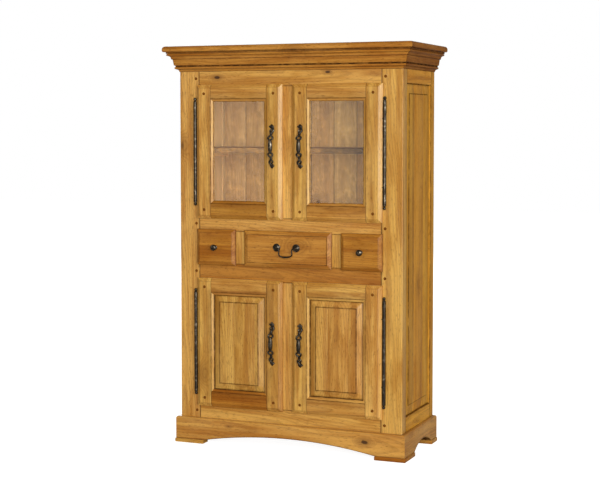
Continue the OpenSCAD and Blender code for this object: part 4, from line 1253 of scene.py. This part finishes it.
def makeKnob(name):
    node = f"{name}_drawer_knob"
    x, z = middle(span(node, 0)), middle(span(node, 2))
    mm = [*knobLook["stem"], *arcPoints(*knobLook["ball"]), knobLook["top"]]
    shape = Shape()
    addLathe(shape, [(r / 1000, h / 1000) for r, h in mm],
             lambda a, b, h: onFront(x + a, z + b, drawerLook["face"] + h), 40, "y")
    shape.finish(f"{name}DrawerKnob", "iron", f"{name}_drawer", node)


# rosette in millimetres, eye in metres, and half of the bow's line in shares of its half width and its drop
bailLook = dict(
    rosette=[(0, -15.0), (2.9, -15.0), (2.9, 0.0), (18.2, 0.0), (19.0, 0.8), (18.6, 2.0), (17.0, 2.9),
             (15.2, 2.7), (14.4, 3.4), (13.2, 4.8), (10.4, 6.2), (7.4, 6.8), (6.2, 6.9), (5.2, 7.8),
             (4.2, 9.0), (3.7, 11.0), (0, 11.0)],
    eye=[(0.0026, -0.004), (0.0048, -0.004), (0.0055, -0.0030), (0.0055, 0.0030), (0.0048, 0.004),
         (0.0026, 0.004), (0.0026, -0.004)],
    neck=[(-0.86, 0.0), (-0.80, -0.02), (-0.70, -0.13), (-0.65, -0.30), (-0.67, -0.52), (-0.61, -0.74),
          (-0.34, -0.86)],
    bottom=(0.0, -0.89), drop=0.048)


def makeBail():
    low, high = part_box("bail_posts")
    half = (high[0] - low[0]) / 2 - bailLook["rosette"][4][0] / 1000
    z = middle(span("bail_posts", 2))
    axisOut = faceY - middle(span("bail", 1))
    posts, bow = Shape(), Shape()
    for side in (-1, 1):
        addLathe(posts, [(r / 1000, h / 1000) for r, h in bailLook["rosette"]],
                 lambda a, b, h: onFront(side * half + a, z + b, drawerLook["face"] + h), 36, "y")
        addLathe(posts, bailLook["eye"],
                 lambda a, b, h: onFront(side * half + h, z + b, axisOut + a), 24, "x")
    posts.finish("bailPosts", "iron", "centre_drawer", "bail_posts")
    neck = bailLook["neck"]
    knots = []
    for a, b in [*neck, bailLook["bottom"], *((-a, b) for a, b in reversed(neck))]:
        radius = 0.0030 + 0.0015 * math.cos(min(abs(a), 1.0) * math.pi / 2) ** 6
        knots.append((a * half, 0.0, z + b * bailLook["drop"], radius, 1.0))
    addRod(bow, lambda x, w, h: onFront(x, h, axisOut + w), knots, 16, 6)
    pivot = [(0.0022, 0.82 * half), (0.0025, 0.83 * half), (0.0025, half + 0.0042), (0.0019, half + 0.005)]
    for side in (-1, 1):
        addLathe(bow, pivot, lambda a, b, h: onFront(side * h, z + b, axisOut + a), 16, "x")
    bow.finish("bailBow", "iron", "bail", "bail")


catchLook = dict(across=(0.0390, 0.0710), depth=(0.002, 0.022), tall=0.012, ballInset=0.008,
                 ball=[(0.0, 0.0), (0.002, 0.0002), (0.0036, 0.0012), (0.004, 0.0026), (0.004, 0.004)])


def makeCatches():
    near, far = catchLook["across"]
    tall, inset = catchLook["tall"], catchLook["ballInset"]
    y = [faceY + reach for reach in catchLook["depth"]]
    shape = Shape()
    for x in ((-far, -near), (near, far)):
        for top in (span("front_lower_rail", 2)[0], span("front_top_rail", 2)[0]):
            plank(shape, x, y, (top - tall, top), "x", 0.5, 0.0012)
            for place in (x[0] + inset, x[1] - inset):
                addLathe(shape, catchLook["ball"],
                         lambda a, b, h: (place + a, faceY + h, top - tall / 2 + b), 16, "y")
    shape.finish("doorCatches", "brass", "case", "door_catches")


# everything is made here

makeFrontRails()
makeUprights()
makePost("left_front_post", -1, True, 0.80)
makePost("right_front_post", 1, True, 0.72)
makePost("left_rear_post", -1, False, 0.40)
makePost("right_rear_post", 1, False, 0.36)
makeSides()
print("stage: frame and sides made")
for (level, hand), tones in doorTones.items():
    makeDoorFrame(level, hand, tones, level == "upper")
makeDoorPanel("left", (0.42, 0.80), (0.52, 0.78))
makeDoorPanel("right", (0.36, 0.72), (0.54, 0.82))
makeDrawerFront("left", 0.05, False)
makeDrawerFront("centre", 0.22, True)
makeDrawerFront("right", 0.09, False)
for name in ("left", "centre", "right"):
    makeDrawerBox(name)
print("stage: doors and drawers made")
makeCornice()
makePlinth()
makeFootPads()
makeInside()
makeBackBoards()
makeAllPegs()
print("stage: mouldings, inside and back made")
makeHinges()
for level, hand in doorTones:
    makePull(level, hand)
makeKnob("left")
makeKnob("right")
makeBail()
makeCatches()
for node in ("upper_left_door_glass", "upper_right_door_glass"):
    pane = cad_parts[node]
    pane.data.materials.clear()
    pane.data.materials.append(materials["glass"])
print("stage: iron and glass made")


# floor, light and camera

stageLook = dict(floor=(0.48, 0.48, 0.48), mottle=(0.44, 0.44, 0.44), floorSize=18.0, floorLift=0.92,
                 skyShown=(1.0, 1.0, 1.0), skyLamp=(0.27, 0.25, 0.215))
middleOfRoom = (0.0, 0.0, 1.0)
lampLook = dict(
    key=dict(place=(5.6, -8.2, 2.6), target=middleOfRoom, power=1060.0, size=(11.0, 5.2)),
    veil=dict(place=(-2.6, -6.6, 1.5), target=(0.0, 0.0, 1.5), power=9.0, size=(3.6, 2.0)),
    behind=dict(place=(-5.2, 7.4, 2.8), target=middleOfRoom, power=330.0, size=(6.0, 3.6)),
    behindDoors=dict(place=(-0.16, -0.165, 1.45), target=(-0.16, 0.44, 1.45), power=2.0, size=(0.60, 0.50)))


# 1 for a ray that is looked along, also through window glass, and 0 for one that carries light
def lookedAlong(nodes):
    path = nodes.put("ShaderNodeLightPath").outputs
    first = nodes.calc("LESS_THAN", path["Diffuse Depth"], 0.5)
    return nodes.calc("MAXIMUM", path["Is Camera Ray"], nodes.times(path["Is Transmission Ray"], first))


def makeStage():
    floorMesh = bpy.data.meshes.new("floor")
    corners = [(-1, -1), (1, -1), (1, 1), (-1, 1)]
    size = stageLook["floorSize"]
    floorMesh.from_pydata([(x * size, y * size, 0) for x, y in corners], [], [(0, 1, 2, 3)])
    material, nodes, shader = newMaterial("floorPaint")
    mottle = nodes.noise(nodes.objectPlace(), 3.0, 3.0)
    color = nodes.blend(nodes.times(mottle, 0.1), stageLook["floor"], stageLook["mottle"])
    nodes.link(color, shader.inputs["Base Color"])
    shader.inputs["Roughness"].default_value = 0.8
    # the paint is lifted to white where it is looked at, and lights nothing
    shader.inputs["Emission Color"].default_value = (1, 1, 1, 1)
    lift = nodes.times(lookedAlong(nodes), stageLook["floorLift"])
    nodes.link(lift, shader.inputs["Emission Strength"])
    floorMesh.materials.append(material)
    floor = bpy.data.objects.new("floor", floorMesh)
    scene.collection.objects.link(floor)
    world = bpy.data.worlds.new("studio")
    world.use_nodes = True
    nodes = Nodes(world.node_tree)
    sky = nodes.blend(lookedAlong(nodes), stageLook["skyLamp"], stageLook["skyShown"])
    nodes.link(sky, world.node_tree.nodes["Background"].inputs[0])
    scene.world = world


def addLamp(name, look):
    lamp = bpy.data.lights.new(name, "AREA")
    lamp.energy = look["power"]
    lamp.shape = "RECTANGLE"
    lamp.size, lamp.size_y = look["size"]
    holder = bpy.data.objects.new(name, lamp)
    scene.collection.objects.link(holder)
    holder.location = look["place"]
    aim = Vector(look["target"]) - Vector(look["place"])
    holder.rotation_euler = aim.to_track_quat("-Z", "Y").to_euler()


# it looks a little down, and the lens is shifted the rest of the way, so uprights stay near parallel
cameraLook = dict(place=(2.553, -6.2485, 1.530), turn=22.42, tilt=3.22, lens=84.8, shift=-0.06)


def addCamera():
    lens = bpy.data.cameras.new("camera")
    lens.lens = cameraLook["lens"]
    lens.sensor_width = 36.0
    lens.shift_y = cameraLook["shift"]
    lens.clip_end = 60.0
    camera = bpy.data.objects.new("camera", lens)
    scene.collection.objects.link(camera)
    camera.location = cameraLook["place"]
    camera.rotation_euler = (math.radians(90.0 - cameraLook["tilt"]), 0.0, math.radians(cameraLook["turn"]))
    scene.camera = camera


makeStage()
for name, look in lampLook.items():
    addLamp(name, look)
addCamera()
scene.view_settings.view_transform = "Standard"
print("stage: light and camera set")
